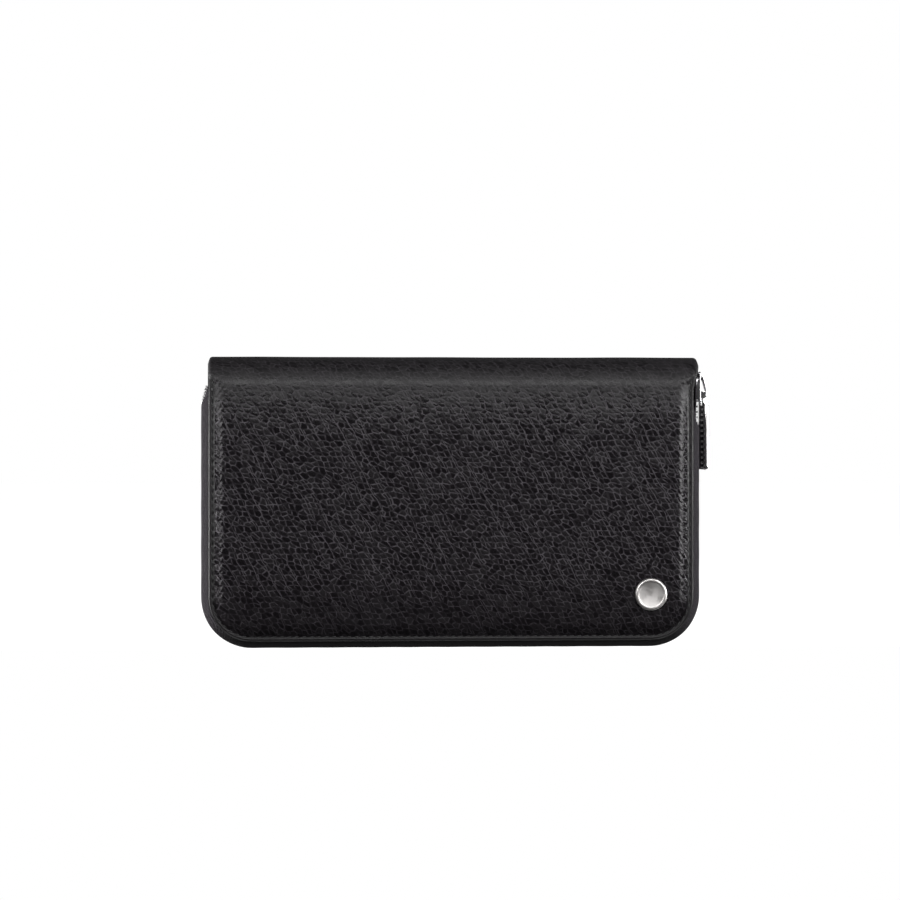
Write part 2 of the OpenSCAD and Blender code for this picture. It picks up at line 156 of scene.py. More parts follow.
def leather_depth(x, z, arc, inset):
    """Depth of the outer leather's surface from the middle of the wallet."""
    sewn = smooth_step((seam_top - arc) / seam_fade)
    start = rim_start * (spine_rim_start + (1 - spine_rim_start) * sewn)
    width = rim_width * (spine_rim_width + (1 - spine_rim_width) * sewn)
    t = np.clip((inset - start) / width, 0, 1)
    rise = sewn * t * (2 - t) + (1 - sewn) * np.sqrt(t * (2 - t))
    run = seam_run(x, z, arc) + pucker_slant * np.maximum(inset - stitch_inset, 0)
    pull = 0.5 + 0.5 * np.cos(2 * math.pi * run / stitch_pitch)
    near_seam = sewn * np.exp(-np.maximum(inset - rim_start, 0) / pucker_reach)
    s = np.where(arc > 0, axis_z + arc * pad_depth, z)
    wave = soft_waves(x, s) * np.clip((inset - wave_start) / wave_width, 0, 1)
    groove = np.exp(-(((inset - stitch_inset) / groove_width) ** 2))
    edge_round = np.clip(1 - inset / edge_turn, 0, 1) ** 2
    return (
        edge_depth
        + (pad_rise - wave_height - crown_drop(z, arc)) * rise * (1 - pucker * pull * near_seam)
        + wave_height * wave
        - groove_depth * groove * sewn * (0.6 + 0.4 * pull)
        - edge_drop * edge_round
    )


def spaced(total, fine, fine_length, coarse):
    """Distances from 0 to total: fine steps first and even coarse ones after."""
    near = np.arange(0, fine_length, fine)
    far = np.linspace(fine_length, total, max(2, int((total - fine_length) / coarse)))
    return np.concatenate([near, far])


def add_object(name, data):
    """New object at the origin, in the scene."""
    obj = bpy.data.objects.new(name, data)
    bpy.context.scene.collection.objects.link(obj)
    return obj


def mesh_object(name, points, faces, uvs=None):
    """New smooth object from points in the row frame, with a UV for each point if given."""
    mesh = bpy.data.meshes.new(name)
    mesh.from_pydata([tuple(p) for p in points], [], [tuple(f) for f in faces])
    if uvs is not None:
        layer = mesh.uv_layers.new(name="surface")
        corner_points = np.empty(len(mesh.loops), int)
        mesh.loops.foreach_get("vertex_index", corner_points)
        layer.data.foreach_set("uv", np.asarray(uvs, np.float32)[corner_points].ravel())
    mesh.polygons.foreach_set("use_smooth", [True] * len(mesh.polygons))
    mesh.update()
    return add_object(name, mesh)


def quads(index, flip=False):
    """Faces between the neighbouring rows and columns of a table of point numbers."""
    a, b, c, d = index[:-1, :-1], index[:-1, 1:], index[1:, 1:], index[1:, :-1]
    order = (a, d, c, b) if flip else (a, b, c, d)
    return np.stack(order, axis=-1).reshape(-1, 4)


def on_wrap(x, z, arc, depth, side):
    """Points at a depth from the middle plane, over the flat cover and on round the spine."""
    return np.stack([mid_x + x, side * depth * np.cos(arc), z + depth * np.sin(arc)], axis=-1)


def leather_half(name, side):
    """Half of the wrap: the front cover (side -1) or the back cover (side 1) with half the spine."""
    low_rows = cover_z + spaced(corner_r, rim_step, rim_band, corner_step)
    flat = np.concatenate([low_rows, np.arange(corner_z + panel_step, axis_z - slack, panel_step)])
    arcs = np.linspace(0, math.pi / 2, spine_rows)
    row_z = np.concatenate([flat, np.full(len(arcs), axis_z)])
    row_arc = np.concatenate([np.zeros(len(flat)), arcs])
    row_half = corner_x + np.sqrt(corner_r**2 - np.clip(corner_z - row_z, 0, corner_r) ** 2)
    half = row_half[:, None]
    edge_steps = np.arange(0, rim_band, rim_step)[None, :]
    across = np.linspace(-1, 1, panel_columns)[None, :]
    x = np.concatenate([-half + edge_steps, (half - rim_band) * across, half - edge_steps[:, ::-1]], axis=1)
    rows, columns = x.shape
    z = np.repeat(row_z[:, None], columns, axis=1)
    arc = np.repeat(row_arc[:, None], columns, axis=1)
    inset = np.where(arc > 0, half_w - np.abs(x), inset_from_edge(x, z))
    skin = on_wrap(flared(x, arc), z, arc, leather_depth(x, z, arc, inset), side)
    run = np.where(arc > 0, pad_depth * (math.pi / 2 - arc), pad_depth * math.pi / 2 + axis_z - z)
    uv = np.stack([x, side * run], axis=-1).reshape(-1, 2) / GRAIN_UNIT
    index = np.arange(rows * columns).reshape(rows, columns)
    skin_faces = quads(index, flip=side > 0)

    # The cut edge follows the rim of the grid: down the right side, along the bottom, up the left.
    rim = np.concatenate([index[::-1, -1], index[0, -2::-1], index[1:, 0]])
    rim_x, rim_z, rim_arc = (values.ravel()[rim] for values in (x, z, arc))
    on_side = rim_z >= corner_z
    past_corner = np.sign(rim_x) * np.maximum(np.abs(rim_x) - corner_x, 0)
    out_x = np.where(on_side, np.sign(rim_x), past_corner)
    out_z = np.where(on_side, 0, rim_z - corner_z)
    length = np.maximum(np.hypot(out_x, out_z), 1e-9)
    points = [skin.reshape(-1, 3)]
    for out, down in cut_edge:
        edge_x = flared(rim_x, rim_arc) + out_x / length * out
        edge_z = rim_z + out_z / length * out
        points.append(on_wrap(edge_x, edge_z, rim_arc, edge_depth + down, side))
    edge_count = len(rim) * len(cut_edge)
    edge_index = rows * columns + np.arange(edge_count).reshape(len(cut_edge), len(rim))
    edge_faces = quads(np.concatenate([rim[None, :], edge_index]), flip=side < 0)
    all_uv = np.concatenate([uv] + [uv[rim]] * len(cut_edge))
    obj = mesh_object(name, np.concatenate(points), np.concatenate([skin_faces, edge_faces]), all_uv)
    sewn = np.where(arc < seam_top, inset / MM, clear_of_edge)
    margin = obj.data.attributes.new("from_edge", "FLOAT", "POINT")
    margin.data.foreach_set("value", np.append(sewn.ravel(), np.zeros(edge_count)).astype(np.float32))
    face_materials = [0] * len(skin_faces) + [1] * len(edge_faces)
    obj.data.polygons.foreach_set("material_index", face_materials)
    return obj


def add_node(tree, kind, settings=None, **values):
    """New node in a tree, with its settings and the values of its named inputs."""
    node = tree.nodes.new(kind)
    for key, value in (settings or {}).items():
        setattr(node, key, value)
    for key, value in values.items():
        node.inputs[key.replace("_", " ")].default_value = value
    return node


def new_group(name, inputs, outputs):
    """Empty shader group with named sockets, and its input and output nodes."""
    tree = bpy.data.node_groups.new(name, "ShaderNodeTree")
    for label, kind, value in inputs:
        socket = tree.interface.new_socket(label, in_out="INPUT", socket_type="NodeSocket" + kind)
        if value is not None:
            socket.default_value = value
    for label, kind in outputs:
        tree.interface.new_socket(label, in_out="OUTPUT", socket_type="NodeSocket" + kind)
    return tree, tree.nodes.new("NodeGroupInput"), tree.nodes.new("NodeGroupOutput")


def maths(tree, operation, a, b=None):
    """Math node on sockets or numbers; returns its result socket."""
    node = add_node(tree, "ShaderNodeMath", {"operation": operation})
    for slot, value in enumerate((a, b)):
        if isinstance(value, (int, float)):
            node.inputs[slot].default_value = value
        elif value is not None:
            tree.links.new(value, node.inputs[slot])
    return node.outputs[0]


def ramp(tree, value, low, high, to_low=0.0, to_high=1.0):
    """Smooth step of a value from low to high; returns its result socket."""
    node = add_node(tree, "ShaderNodeMapRange", {"interpolation_type": "SMOOTHSTEP"})
    for slot, number in enumerate((low, high, to_low, to_high), start=1):
        node.inputs[slot].default_value = number
    tree.links.new(value, node.inputs[0])
    return node.outputs[0]


def split(tree, vector):
    """The X, Y and Z sockets of a vector."""
    node = tree.nodes.new("ShaderNodeSeparateXYZ")
    tree.links.new(vector, node.inputs[0])
    return node.outputs


def pebble_grain():
    """Tumbled grain in mm: even domed pebbles in slanting files, with long creases between the files."""
    tree, given, result = new_group(
        "pebble_grain",
        [
            ("Surface", "Vector", None),
            ("Pebble", "Float", 3.0),
            ("Lean", "Float", 0.6),
            ("Depth", "Float", 1.0),
        ],
        [("Crease", "Float"), ("Height", "Float"), ("Tone", "Float")],
    )
    surface, pebble, lean, depth = (given.outputs[label] for label in ("Surface", "Pebble", "Lean", "Depth"))
    link = tree.links.new
    times, plus, over = (partial(maths, tree, kind) for kind in ("MULTIPLY", "ADD", "DIVIDE"))
    larger = partial(maths, tree, "MAXIMUM")
    step = partial(ramp, tree)

    def cells(scale, randomness, feature="DISTANCE_TO_EDGE"):
        kind = {"feature": feature, "voronoi_dimensions": "2D"}
        node = add_node(tree, "ShaderNodeTexVoronoi", kind, Scale=scale, Randomness=randomness)
        link(files.outputs[0], node.inputs["Vector"])
        return node.outputs["Color" if feature == "F1" else "Distance"]

    def noise(scale, detail=2.0, roughness=0.5):
        node = add_node(tree, "ShaderNodeTexNoise", Scale=scale, Detail=detail, Roughness=roughness)
        link(surface, node.inputs["Vector"])
        return node.outputs

    def moved(vector, shift, by):
        node = add_node(tree, "ShaderNodeVectorMath", {"operation": "MULTIPLY_ADD"})
        node.inputs[1].default_value = by
        link(shift, node.inputs[0])
        link(vector, node.inputs[2])
        return node.outputs[0]

    # The surface drifts a little, and leans so that the cells stand in slanting files.
    drift = moved(surface, noise(0.09)["Color"], (3, 3, 0))
    x, y, _ = split(tree, moved(drift, noise(0.5, 1.0)["Color"], (0.5, 0.5, 0)))
    across = plus(times(x, maths(tree, "SINE", lean)), times(y, maths(tree, "COSINE", lean)))
    files = tree.nodes.new("ShaderNodeCombineXYZ")
    link(over(across, pebble), files.inputs[0])
    link(over(y, pebble), files.inputs[1])
    pebbles = cells(1.0, 0.72)
    grains = cells(2.2, 1.0)
    between = maths(tree, "FRACT", over(across, times(pebble, 2.0)))
    wrinkles = maths(tree, "ABSOLUTE", maths(tree, "SUBTRACT", between, 0.25))
    patches = noise(0.07, 3.0)["Fac"]
    pores = noise(3.0, 3.0, 0.65)["Fac"]
    uneven = noise(0.5, 3.0)["Fac"]

    # Creases: deep ones round the pebbles, hairlines between the files and faint ones across them.
    deep = times(step(pebbles, 0.0, 0.15, 1.0, 0.0), step(uneven, 0.34, 0.66, 0.1, 1.0))
    deep = larger(deep, step(pebbles, 0.0, 0.32, 0.16, 0.0))
    hair = times(step(wrinkles, 0.0, 0.055, 1.0, 0.0), step(patches, 0.38, 0.62, 0.0, 0.95))
    fine = times(step(grains, 0.0, 0.2, 0.12, 0.0), step(pores, 0.36, 0.62))
    link(times(larger(larger(deep, hair), fine), depth), result.inputs["Crease"])

    # Height: domed pebbles on low folds, with small grains and pores on them.
    dome = times(step(pebbles, 0.0, 0.42), 0.62)
    fold = times(step(wrinkles, 0.0, 0.12), 0.2)
    small = times(step(grains, 0.0, 0.35), 0.14)
    grit = times(pores, 0.1)
    link(times(plus(plus(dome, fold), plus(small, grit)), depth), result.inputs["Height"])

    # Tone: one number for each pebble.
    spread = tree.nodes.new("ShaderNodeSeparateColor")
    link(cells(1.0, 0.72, "F1"), spread.inputs[0])
    link(spread.outputs[0], result.inputs["Tone"])
    return tree


def new_material(name, roughness=0.5, specular=0.5):
    """Node material; returns it with its tree and its Principled shader."""
    material = bpy.data.materials.new(name)
    material.use_nodes = True
    shader = material.node_tree.nodes["Principled BSDF"]
    shader.inputs["Roughness"].default_value = roughness
    shader.inputs["Specular IOR Level"].default_value = specular
    return material, material.node_tree, shader


def mixed(tree, factor, low, high):
    """Colour between two colours by a factor socket; returns the colour socket."""
    node = add_node(tree, "ShaderNodeMix", {"data_type": "RGBA"})
    tree.links.new(factor, node.inputs["Factor"])
    for slot, value in ((6, low), (7, high)):
        if isinstance(value, tuple):
            node.inputs[slot].default_value = (*value, 1)
        else:
            tree.links.new(value, node.inputs[slot])
    return node.outputs[2]


def surface_mm(tree):
    """The piece's own UV map, in millimetres along its surface."""
    uv = add_node(tree, "ShaderNodeUVMap", {"uv_map": "surface"})
    scale = add_node(tree, "ShaderNodeVectorMath", {"operation": "SCALE"}, Scale=GRAIN_UNIT / MM)
    tree.links.new(uv.outputs[0], scale.inputs[0])
    return scale.outputs[0]


def placed_texture(tree, kind, **values):
    """Texture node on Object coordinates; returns its output sockets."""
    texture = add_node(tree, kind, **values)
    place = tree.nodes.new("ShaderNodeTexCoord")
    tree.links.new(place.outputs["Object"], texture.inputs["Vector"])
    return texture.outputs


def bumped(tree, shader, height, distance, strength):
    """Feeds a height to the shader's normal through a bump."""
    bump = add_node(tree, "ShaderNodeBump", Strength=strength, Distance=distance)
    tree.links.new(height, bump.inputs["Height"])
    tree.links.new(bump.outputs[0], shader.inputs["Normal"])


def tumbled_leather():
    """Black tumbled calf: dark domed pebbles with paler, duller creases, drawn smooth over the spine and
    towards the lower edge, where the fading pale creases also paint shade.
    """
    material, tree, shader = new_material("tumbled_calf", specular=0.17)
    surface = surface_mm(tree)
    pebbles = add_node(tree, "ShaderNodeGroup", {"node_tree": grain}, Pebble=2.1, Lean=1.08)
    tree.links.new(surface, pebbles.inputs["Surface"])
    crease, height, tone = (pebbles.outputs[label] for label in ("Crease", "Height", "Tone"))
    from_top = maths(tree, "ABSOLUTE", split(tree, surface)[1])
    from_edge = add_node(tree, "ShaderNodeAttribute", {"attribute_name": "from_edge"}).outputs["Fac"]

    below_spine = ramp(tree, from_top, 12.0, 34.0, 0.4, 1.0)
    inside_margin = ramp(tree, from_edge, 1.9, 3.4, 0.1, 1.0)
    # Towards the lower edge the grain is drawn smoother and its pale creases fade, which also paints shade on
    # the lower panel.
    foot_smoothing_and_shade = ramp(tree, from_top, 84.0, 113.0, 1.0, 0.4)
    depth = maths(tree, "MULTIPLY", below_spine, inside_margin)
    tree.links.new(maths(tree, "MULTIPLY", depth, foot_smoothing_and_shade), pebbles.inputs["Depth"])

    top = mixed(tree, tone, pebble_black, pebble_grey)
    tree.links.new(mixed(tree, crease, top, crease_grey), shader.inputs["Base Color"])
    dull = ramp(tree, crease, 0, 1, 0.2, 0.45)
    over_spine = ramp(tree, from_top, 9.0, 34.0, 0.27, 0.0)
    in_margin = ramp(tree, from_edge, 1.4, 2.6, 0.25, 0.0)
    by_pebble = ramp(tree, tone, 0.0, 1.0, -0.07, 0.07)
    for more in (over_spine, in_margin, by_pebble):
        dull = maths(tree, "ADD", dull, more)
    tree.links.new(dull, shader.inputs["Roughness"])
    bumped(tree, shader, height, 0.3 * MM, 0.22)
    return material


def flecked(name, roughness, specular, scale, detail, dark, light, relief, strength):
    """Matt material with fine flecks between two colours, and relief to match."""
    material, tree, shader = new_material(name, roughness, specular)
    flecks = placed_texture(tree, "ShaderNodeTexNoise", Scale=scale, Detail=detail)["Fac"]
    tree.links.new(mixed(tree, flecks, dark, light), shader.inputs["Base Color"])
    bumped(tree, shader, flecks, relief, strength)
    return material


def dress(piece, materials=(), nodes=()):
    """Gives a piece its materials and hides these CAD nodes, for which it stands."""
    for material in materials:
        piece.data.materials.append(material)
    if nodes:
        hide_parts(*nodes)


def bend_half(piece, side):
    """Bakes the placing of a piece of one half into its mesh."""
    if side < 0:
        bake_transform(piece)
    else:
        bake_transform(piece)


grain = pebble_grain()
calf = tumbled_leather()
edge_paint = flecked(
    "painted_edge", roughness=0.75, specular=0.1, scale=900.0, detail=3.0,
    dark=(0.005, 0.0049, 0.0052), light=(0.014, 0.0136, 0.0144), relief=0.06 * MM, strength=0.6,
)
for label, side in halves:
    outer = leather_half("outer_leather_" + label, side)
    covers = [label + "_cover_leather"] + (["spine_leather"] if side < 0 else [])
    dress(outer, [calf, edge_paint], covers)
    bend_half(outer, side)

# Seam stitching: black waxed thread sewn through leather, tape and lining, close to the edge.
# Each stitch lies a little askew in its groove, as hand-set saddle stitches do.
thread_width = 0.55 * MM
thread_sink = 0.16 * MM
stitch_length = 2.25 * MM
stitch_slant = 0.24
seam_step = 0.5 * MM
seam_top_points = 12
seam_corner_points = 40


def geometry_tree(name, inputs):
    """Geometry tree with a geometry input, named inputs and one geometry output."""
    tree = bpy.data.node_groups.new(name, "GeometryNodeTree")
    tree.interface.new_socket("Geometry", in_out="INPUT", socket_type="NodeSocketGeometry")
    for label, kind in inputs:
        tree.interface.new_socket(label, in_out="INPUT", socket_type="NodeSocket" + kind)
    tree.interface.new_socket("Geometry", in_out="OUTPUT", socket_type="NodeSocketGeometry")
    return tree, tree.nodes.new("NodeGroupInput"), tree.nodes.new("NodeGroupOutput")


def along_path(tree, given):
    """Points every Pitch along the path, turned so that X runs along it and Z faces its out attribute."""
    link = tree.links.new
    curve = tree.nodes.new("GeometryNodeMeshToCurve")
    link(given.outputs["Geometry"], curve.inputs[0])
    even = add_node(tree, "GeometryNodeResampleCurve", {"mode": "LENGTH"})
    link(curve.outputs[0], even.inputs["Curve"])
    link(given.outputs["Pitch"], even.inputs["Length"])
    out = add_node(tree, "GeometryNodeInputNamedAttribute", {"data_type": "FLOAT_VECTOR"}, Name="out")
    upright = add_node(tree, "FunctionNodeAlignRotationToVector", {"axis": "Z"})
    link(out.outputs[0], upright.inputs["Vector"])
    tangent = tree.nodes.new("GeometryNodeInputTangent")
    forward = add_node(tree, "FunctionNodeAlignRotationToVector", {"axis": "X", "pivot_axis": "Z"})
    link(upright.outputs[0], forward.inputs["Rotation"])
    link(tangent.outputs[0], forward.inputs["Vector"])
    return even.outputs[0], forward.outputs[0]


def set_copies(tree, given, result, **sockets):
    """Ends a tree with copies on points, made real and given the tree's Material."""
    link = tree.links.new
    placed = tree.nodes.new("GeometryNodeInstanceOnPoints")
    for label, socket in sockets.items():
        link(socket, placed.inputs[label])
    real = tree.nodes.new("GeometryNodeRealizeInstances")
    link(placed.outputs[0], real.inputs[0])
    painted = tree.nodes.new("GeometryNodeSetMaterial")
    link(real.outputs[0], painted.inputs["Geometry"])
    link(given.outputs["Material"], painted.inputs["Material"])
    link(painted.outputs[0], result.inputs[0])


def stitch_tree():
    """Thread stitches as long beads on a path, each turned a little by Slant."""
    sizes = [(label, "Float") for label in ("Pitch", "Length", "Width", "Slant")]
    tree, given, result = geometry_tree("stitches", sizes + [("Material", "Material")])
    link = tree.links.new
    points, facing = along_path(tree, given)
    tilt = add_node(tree, "FunctionNodeAxisAngleToRotation", Axis=(0, 0, 1))
    link(given.outputs["Slant"], tilt.inputs["Angle"])
    slanted = add_node(tree, "FunctionNodeRotateRotation", {"rotation_space": "LOCAL"})
    link(facing, slanted.inputs["Rotation"])
    link(tilt.outputs[0], slanted.inputs["Rotate By"])
    bead = add_node(tree, "GeometryNodeMeshUVSphere", Segments=8, Rings=6, Radius=0.5)
    size = tree.nodes.new("ShaderNodeCombineXYZ")
    for socket, label in zip(size.inputs, ("Length", "Width", "Width")):
        link(given.outputs[label], socket)
    set_copies(
        tree, given, result,
        Points=points, Instance=bead.outputs[0], Rotation=slanted.outputs[0], Scale=size.outputs[0],
    )
    return tree


def path_object(name, points, outs):
    """Open line of points, each with the direction that faces out of the surface."""
    mesh = bpy.data.meshes.new(name)
    mesh.from_pydata([tuple(p) for p in points], [(i, i + 1) for i in range(len(points) - 1)], [])
    attribute = mesh.attributes.new("out", "FLOAT_VECTOR", "POINT")
    attribute.data.foreach_set("vector", np.asarray(outs, np.float32).ravel())
    return add_object(name, mesh)


def grown(path, tree, smooth, **values):
    """Runs a geometry tree on a path with these inputs and keeps the result as its mesh."""
    modifier = path.modifiers.new("grow", "NODES")
    modifier.node_group = tree
    for item in tree.interface.items_tree:
        if item.in_out == "INPUT" and item.name in values:
            modifier[item.identifier] = values[item.name]
    depsgraph = bpy.context.evaluated_depsgraph_get()
    mesh = bpy.data.meshes.new_from_object(path.evaluated_get(depsgraph), depsgraph=depsgraph)
    path.modifiers.remove(modifier)
    path.data = mesh
    mesh.polygons.foreach_set("use_smooth", [smooth] * len(mesh.polygons))
    return path


def seam_line(inset):
    """The seam from its upper end on the right, round the lower edge, to its end on the left."""
    turn = corner_r - inset
    arcs = np.linspace(seam_top, 0, seam_top_points)
    down = np.arange(axis_z, corner_z, -seam_step)
    angles = np.linspace(0, math.pi / 2, seam_corner_points)
    along = np.arange(corner_x, -corner_x, -seam_step)
    x = np.concatenate([np.full(len(arcs) + len(down), half_w - inset), corner_x + turn * np.cos(angles)])
    z = np.concatenate([np.full(len(arcs), axis_z), down, corner_z - turn * np.sin(angles)])
    arc = np.concatenate([arcs, np.zeros(len(down) + len(angles))])
    return (
        np.concatenate([x, along, -x[::-1]]),
        np.concatenate([z, np.full(len(along), cover_z + inset), z[::-1]]),
        np.concatenate([arc, np.zeros(len(along)), arc[::-1]]),
    )


thread = flecked(
    "waxed_thread", roughness=0.5, specular=0.2, scale=2600.0, detail=2.0,
    dark=(0.004, 0.004, 0.0044), light=(0.018, 0.0175, 0.018), relief=0.08 * MM, strength=0.7,
)
stitches = stitch_tree()
seam_x, seam_z, seam_arc = seam_line(stitch_inset)
seam_sizes = {"Pitch": stitch_pitch, "Length": stitch_length, "Width": thread_width, "Material": thread}
for label, side in halves:
    line = on_wrap(flared(seam_x, seam_arc), seam_z, seam_arc, edge_depth - thread_sink, side)
    outs = np.stack([np.zeros(len(seam_arc)), side * np.cos(seam_arc), np.sin(seam_arc)], axis=-1)
    path = path_object("seam_stitches_" + label, line, outs)
    seam = grown(path, stitches, True, Slant=-side * stitch_slant, **seam_sizes)
    dress(seam)
    bend_half(seam, side)

# Zip tapes: two strips of black twill, sewn between leather and lining and folded outward
# past the edge, so that a soft dark ridge shows all round. The back one rides its cover.
tape_low, tape_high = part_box("zip_tape_front")
zip_out = cover_z - tape_low.z
tape_top = tape_high.z
tape_thick = 0.5 * MM
tape_step = 0.8 * MM
corner_spread = 1.6  # length of a corner's quarter turn, in radii, with some to spare
tooth_thick = 2.4 * MM
ridge = (zip_out - tape_thick / 2) / MM
teeth_at = (zip_out - tooth_thick / 2) / MM - 0.05
side_top = axis_z - 8 * MM
tail_r = 22 * MM
tail_turn = math.radians(33)
leave_right = side_top + 2 * MM  # heights where the tape has left the seam
leave_left = side_top + 11 * MM
leave_length = 10 * MM
dip_depth = 0.06 * MM
dip_rate = 410  # radians of the fold's unevenness for each metre of tape
fold_at = 6.4 * MM
fold_width = 1.2 * MM
tooth_edge = [(teeth_at, -4.8), (teeth_at, -1.35)]
sewn_fold = [(-3.2, -9.1), (-1, -9.1), (ridge - 1.6, -8), (ridge, -6.9), (ridge, -5.5), (teeth_at + 0.4, -5)]
leaving_fold = [(-0.6, -9.1), (-0.5, -8.2), (-0.2, -7.5), (0.2, -6.9), (0.2, -5.6), (0.8, -5.2)]
tail_across = (5.9, 5.7, 5.5, 5.3, 5.1, 4.9, 4.7, 1.35)
tape_sewn = MM * np.array(sewn_fold + tooth_edge)
tape_leaving = MM * np.array(leaving_fold + tooth_edge)
tape_tail = MM * np.array([(teeth_at, -y) for y in tail_across])
zip_bend = axis_z - 12 * MM
twill_black = (0.0062, 0.0055, 0.0065)
twill_grey = (0.03, 0.0268, 0.0315)
# Painted shade: the twill turns near-black on its lowest run and fades back between these heights.
painted_shade_twill = (0.0011, 0.001, 0.0012)
shade_full_below = 2.5 * MM
shade_gone_above = 12 * MM


def zip_line(step):
    """Frames along the zip from its right end to its left: centre x, z, turn, radius and run."""
    corner_steps = int(corner_r * corner_spread / step)
    frames = [(half_w, z, 0.0, 0.0) for z in np.arange(tape_top, corner_z, -step)]
    for angle in np.linspace(0, math.pi / 2, corner_steps):
        frames.append((corner_x, corner_z, angle, corner_r))
    for x in np.arange(corner_x - step, step - corner_x, -step):
        frames.append((x, cover_z, math.pi / 2, 0.0))
    for angle in np.linspace(math.pi / 2, math.pi, corner_steps):
        frames.append((-corner_x, corner_z, angle, corner_r))
    for z in np.arange(corner_z + step, side_top, step):
        frames.append((-half_w, z, math.pi, 0.0))
    for angle in np.linspace(0, tail_turn, int(tail_r * tail_turn / step) + 2):
        frames.append((tail_r - half_w, side_top, math.pi + angle, tail_r))
    return np.array(frames).T


def rounded_line(line):
    """Cuts the corners of a row of points twice, so that it runs smoothly, and keeps its ends."""
    for _ in range(2):
        near = 0.75 * line[:-1] + 0.25 * line[1:]
        far = 0.25 * line[:-1] + 0.75 * line[1:]
        line = np.concatenate([line[:1], np.stack([near, far], axis=1).reshape(-1, 2)[1:-1], line[-1:]])
    return line


def thick_loop(line, thick):
    """Loop round a row of points, half the thickness to each side."""
    slope = np.gradient(line, axis=0)
    normal = np.stack([slope[:, 1], -slope[:, 0]], axis=-1) / np.hypot(slope[:, 0], slope[:, 1])[:, None]
    return np.concatenate([line + normal * thick / 2, (line - normal * thick / 2)[::-1]])


def there_and_back(values):
    """Values along a row of points, for the loop round it."""
    return np.concatenate([values, values[::-1]])


def ring_table(rings, count):
    """Table of point numbers of closed rings, with the first column again as the last."""
    index = np.arange(rings * count).reshape(rings, count)
    return np.concatenate([index, index[:, :1]], axis=1)


def tape_section(sewn):
    """The tape's section where it is sewn (1), leaves the seam (0.5) or runs free (0)."""
    if sewn > 0.5:
        return rounded_line(tape_sewn * (2 * sewn - 1) + tape_leaving * (2 - 2 * sewn))
    return rounded_line(tape_leaving * 2 * sewn + tape_tail * (1 - 2 * sewn))


def swept_tape(name, side):
    """Tape of the front (side -1) or back (side 1) swept along the zip, with its thickness."""
    x, z, turn, radius = zip_line(tape_step)
    line_x, line_z = x + radius * np.cos(turn), z - radius * np.sin(turn)
    run = np.concatenate([[0], np.cumsum(np.hypot(np.diff(line_x), np.diff(line_z)))])
    leave = np.where(turn > math.pi / 2, leave_left, leave_right)
    sewn = smooth_step((leave - line_z) / leave_length)
    rings, uvs = [], []
    for i in range(len(x)):
        line = tape_section(sewn[i])
        dip = dip_depth * (0.5 + 0.5 * math.sin(run[i] * dip_rate)) * sewn[i]
        soft = -dip * np.exp(-(((line[:, 1] + fold_at) / fold_width) ** 2))
        loop = thick_loop(line, tape_thick)
        out = radius[i] + loop[:, 0] + there_and_back(soft)
        ring_x = mid_x + x[i] + out * math.cos(turn[i])
        ring_z = z[i] - out * math.sin(turn[i])
        rings.append(np.stack([ring_x, -side * loop[:, 1], ring_z], axis=-1))
        across = there_and_back(np.concatenate([[0], np.cumsum(np.hypot(*np.diff(line, axis=0).T))]))
        uvs.append(np.stack([np.full(len(across), run[i]), across], axis=-1) / GRAIN_UNIT)
    count = len(rings[0])
    index = ring_table(len(rings), count)
    faces = [tuple(f) for f in quads(index, flip=side > 0)]
    for ring, flip in ((index[0], side > 0), (index[-1], side < 0)):
        for i in range(count // 2 - 1):
            quad = (ring[i], ring[count - 1 - i], ring[count - 2 - i], ring[i + 1])
            faces.append(quad[::-1] if flip else quad)
    return mesh_object(name, np.concatenate(rings), faces, np.concatenate(uvs))


def twill_weave():
    """Twill: diagonal ribs crossed by fine yarns, from a surface in mm."""
    tree, given, result = new_group(
        "twill_weave",
        [("Surface", "Vector", None), ("Rib", "Float", 0.75)],
        [("Height", "Float"), ("Tone", "Float")],
    )
    link = tree.links.new
    times, plus = (partial(maths, tree, kind) for kind in ("MULTIPLY", "ADD"))
    along, across, _ = split(tree, given.outputs["Surface"])
    rate = maths(tree, "DIVIDE", 2 * math.pi, given.outputs["Rib"])
    rib = maths(tree, "SINE", times(plus(along, times(across, 0.8)), rate))
    yarn = maths(tree, "SINE", times(times(across, rate), 2.1))
    link(plus(plus(times(rib, 0.36), times(yarn, 0.14)), 0.5), result.inputs["Height"])
    uneven = add_node(tree, "ShaderNodeTexNoise", Scale=1.4, Detail=3.0)
    link(given.outputs["Surface"], uneven.inputs["Vector"])
    link(plus(times(rib, 0.25), uneven.outputs["Fac"]), result.inputs["Tone"])
    return tree


def twill_material():
    """Black polyester twill with the dull sheen of its filaments, painted darker on its lowest run as shade
    under the cover's lower edge.
    """
    material, tree, shader = new_material("black_twill", roughness=0.72, specular=0.06)
    cloth = add_node(tree, "ShaderNodeGroup", {"node_tree": twill_weave()}, Rib=0.75)
    tree.links.new(surface_mm(tree), cloth.inputs["Surface"])
    colour = mixed(tree, ramp(tree, cloth.outputs["Tone"], 0.2, 0.9), twill_black, twill_grey)
    place = tree.nodes.new("ShaderNodeTexCoord")
    height = split(tree, place.outputs["Object"])[2]
    # Painted shade on the run closest to the table, where the cover's lower edge shades the tape.
    colour = mixed(tree, ramp(tree, height, shade_full_below, shade_gone_above), painted_shade_twill, colour)
    tree.links.new(colour, shader.inputs["Base Color"])
    shader.inputs["Sheen Weight"].default_value = 0.02
    shader.inputs["Sheen Roughness"].default_value = 0.4
    bumped(tree, shader, cloth.outputs["Height"], 0.18 * MM, 0.9)
    return material


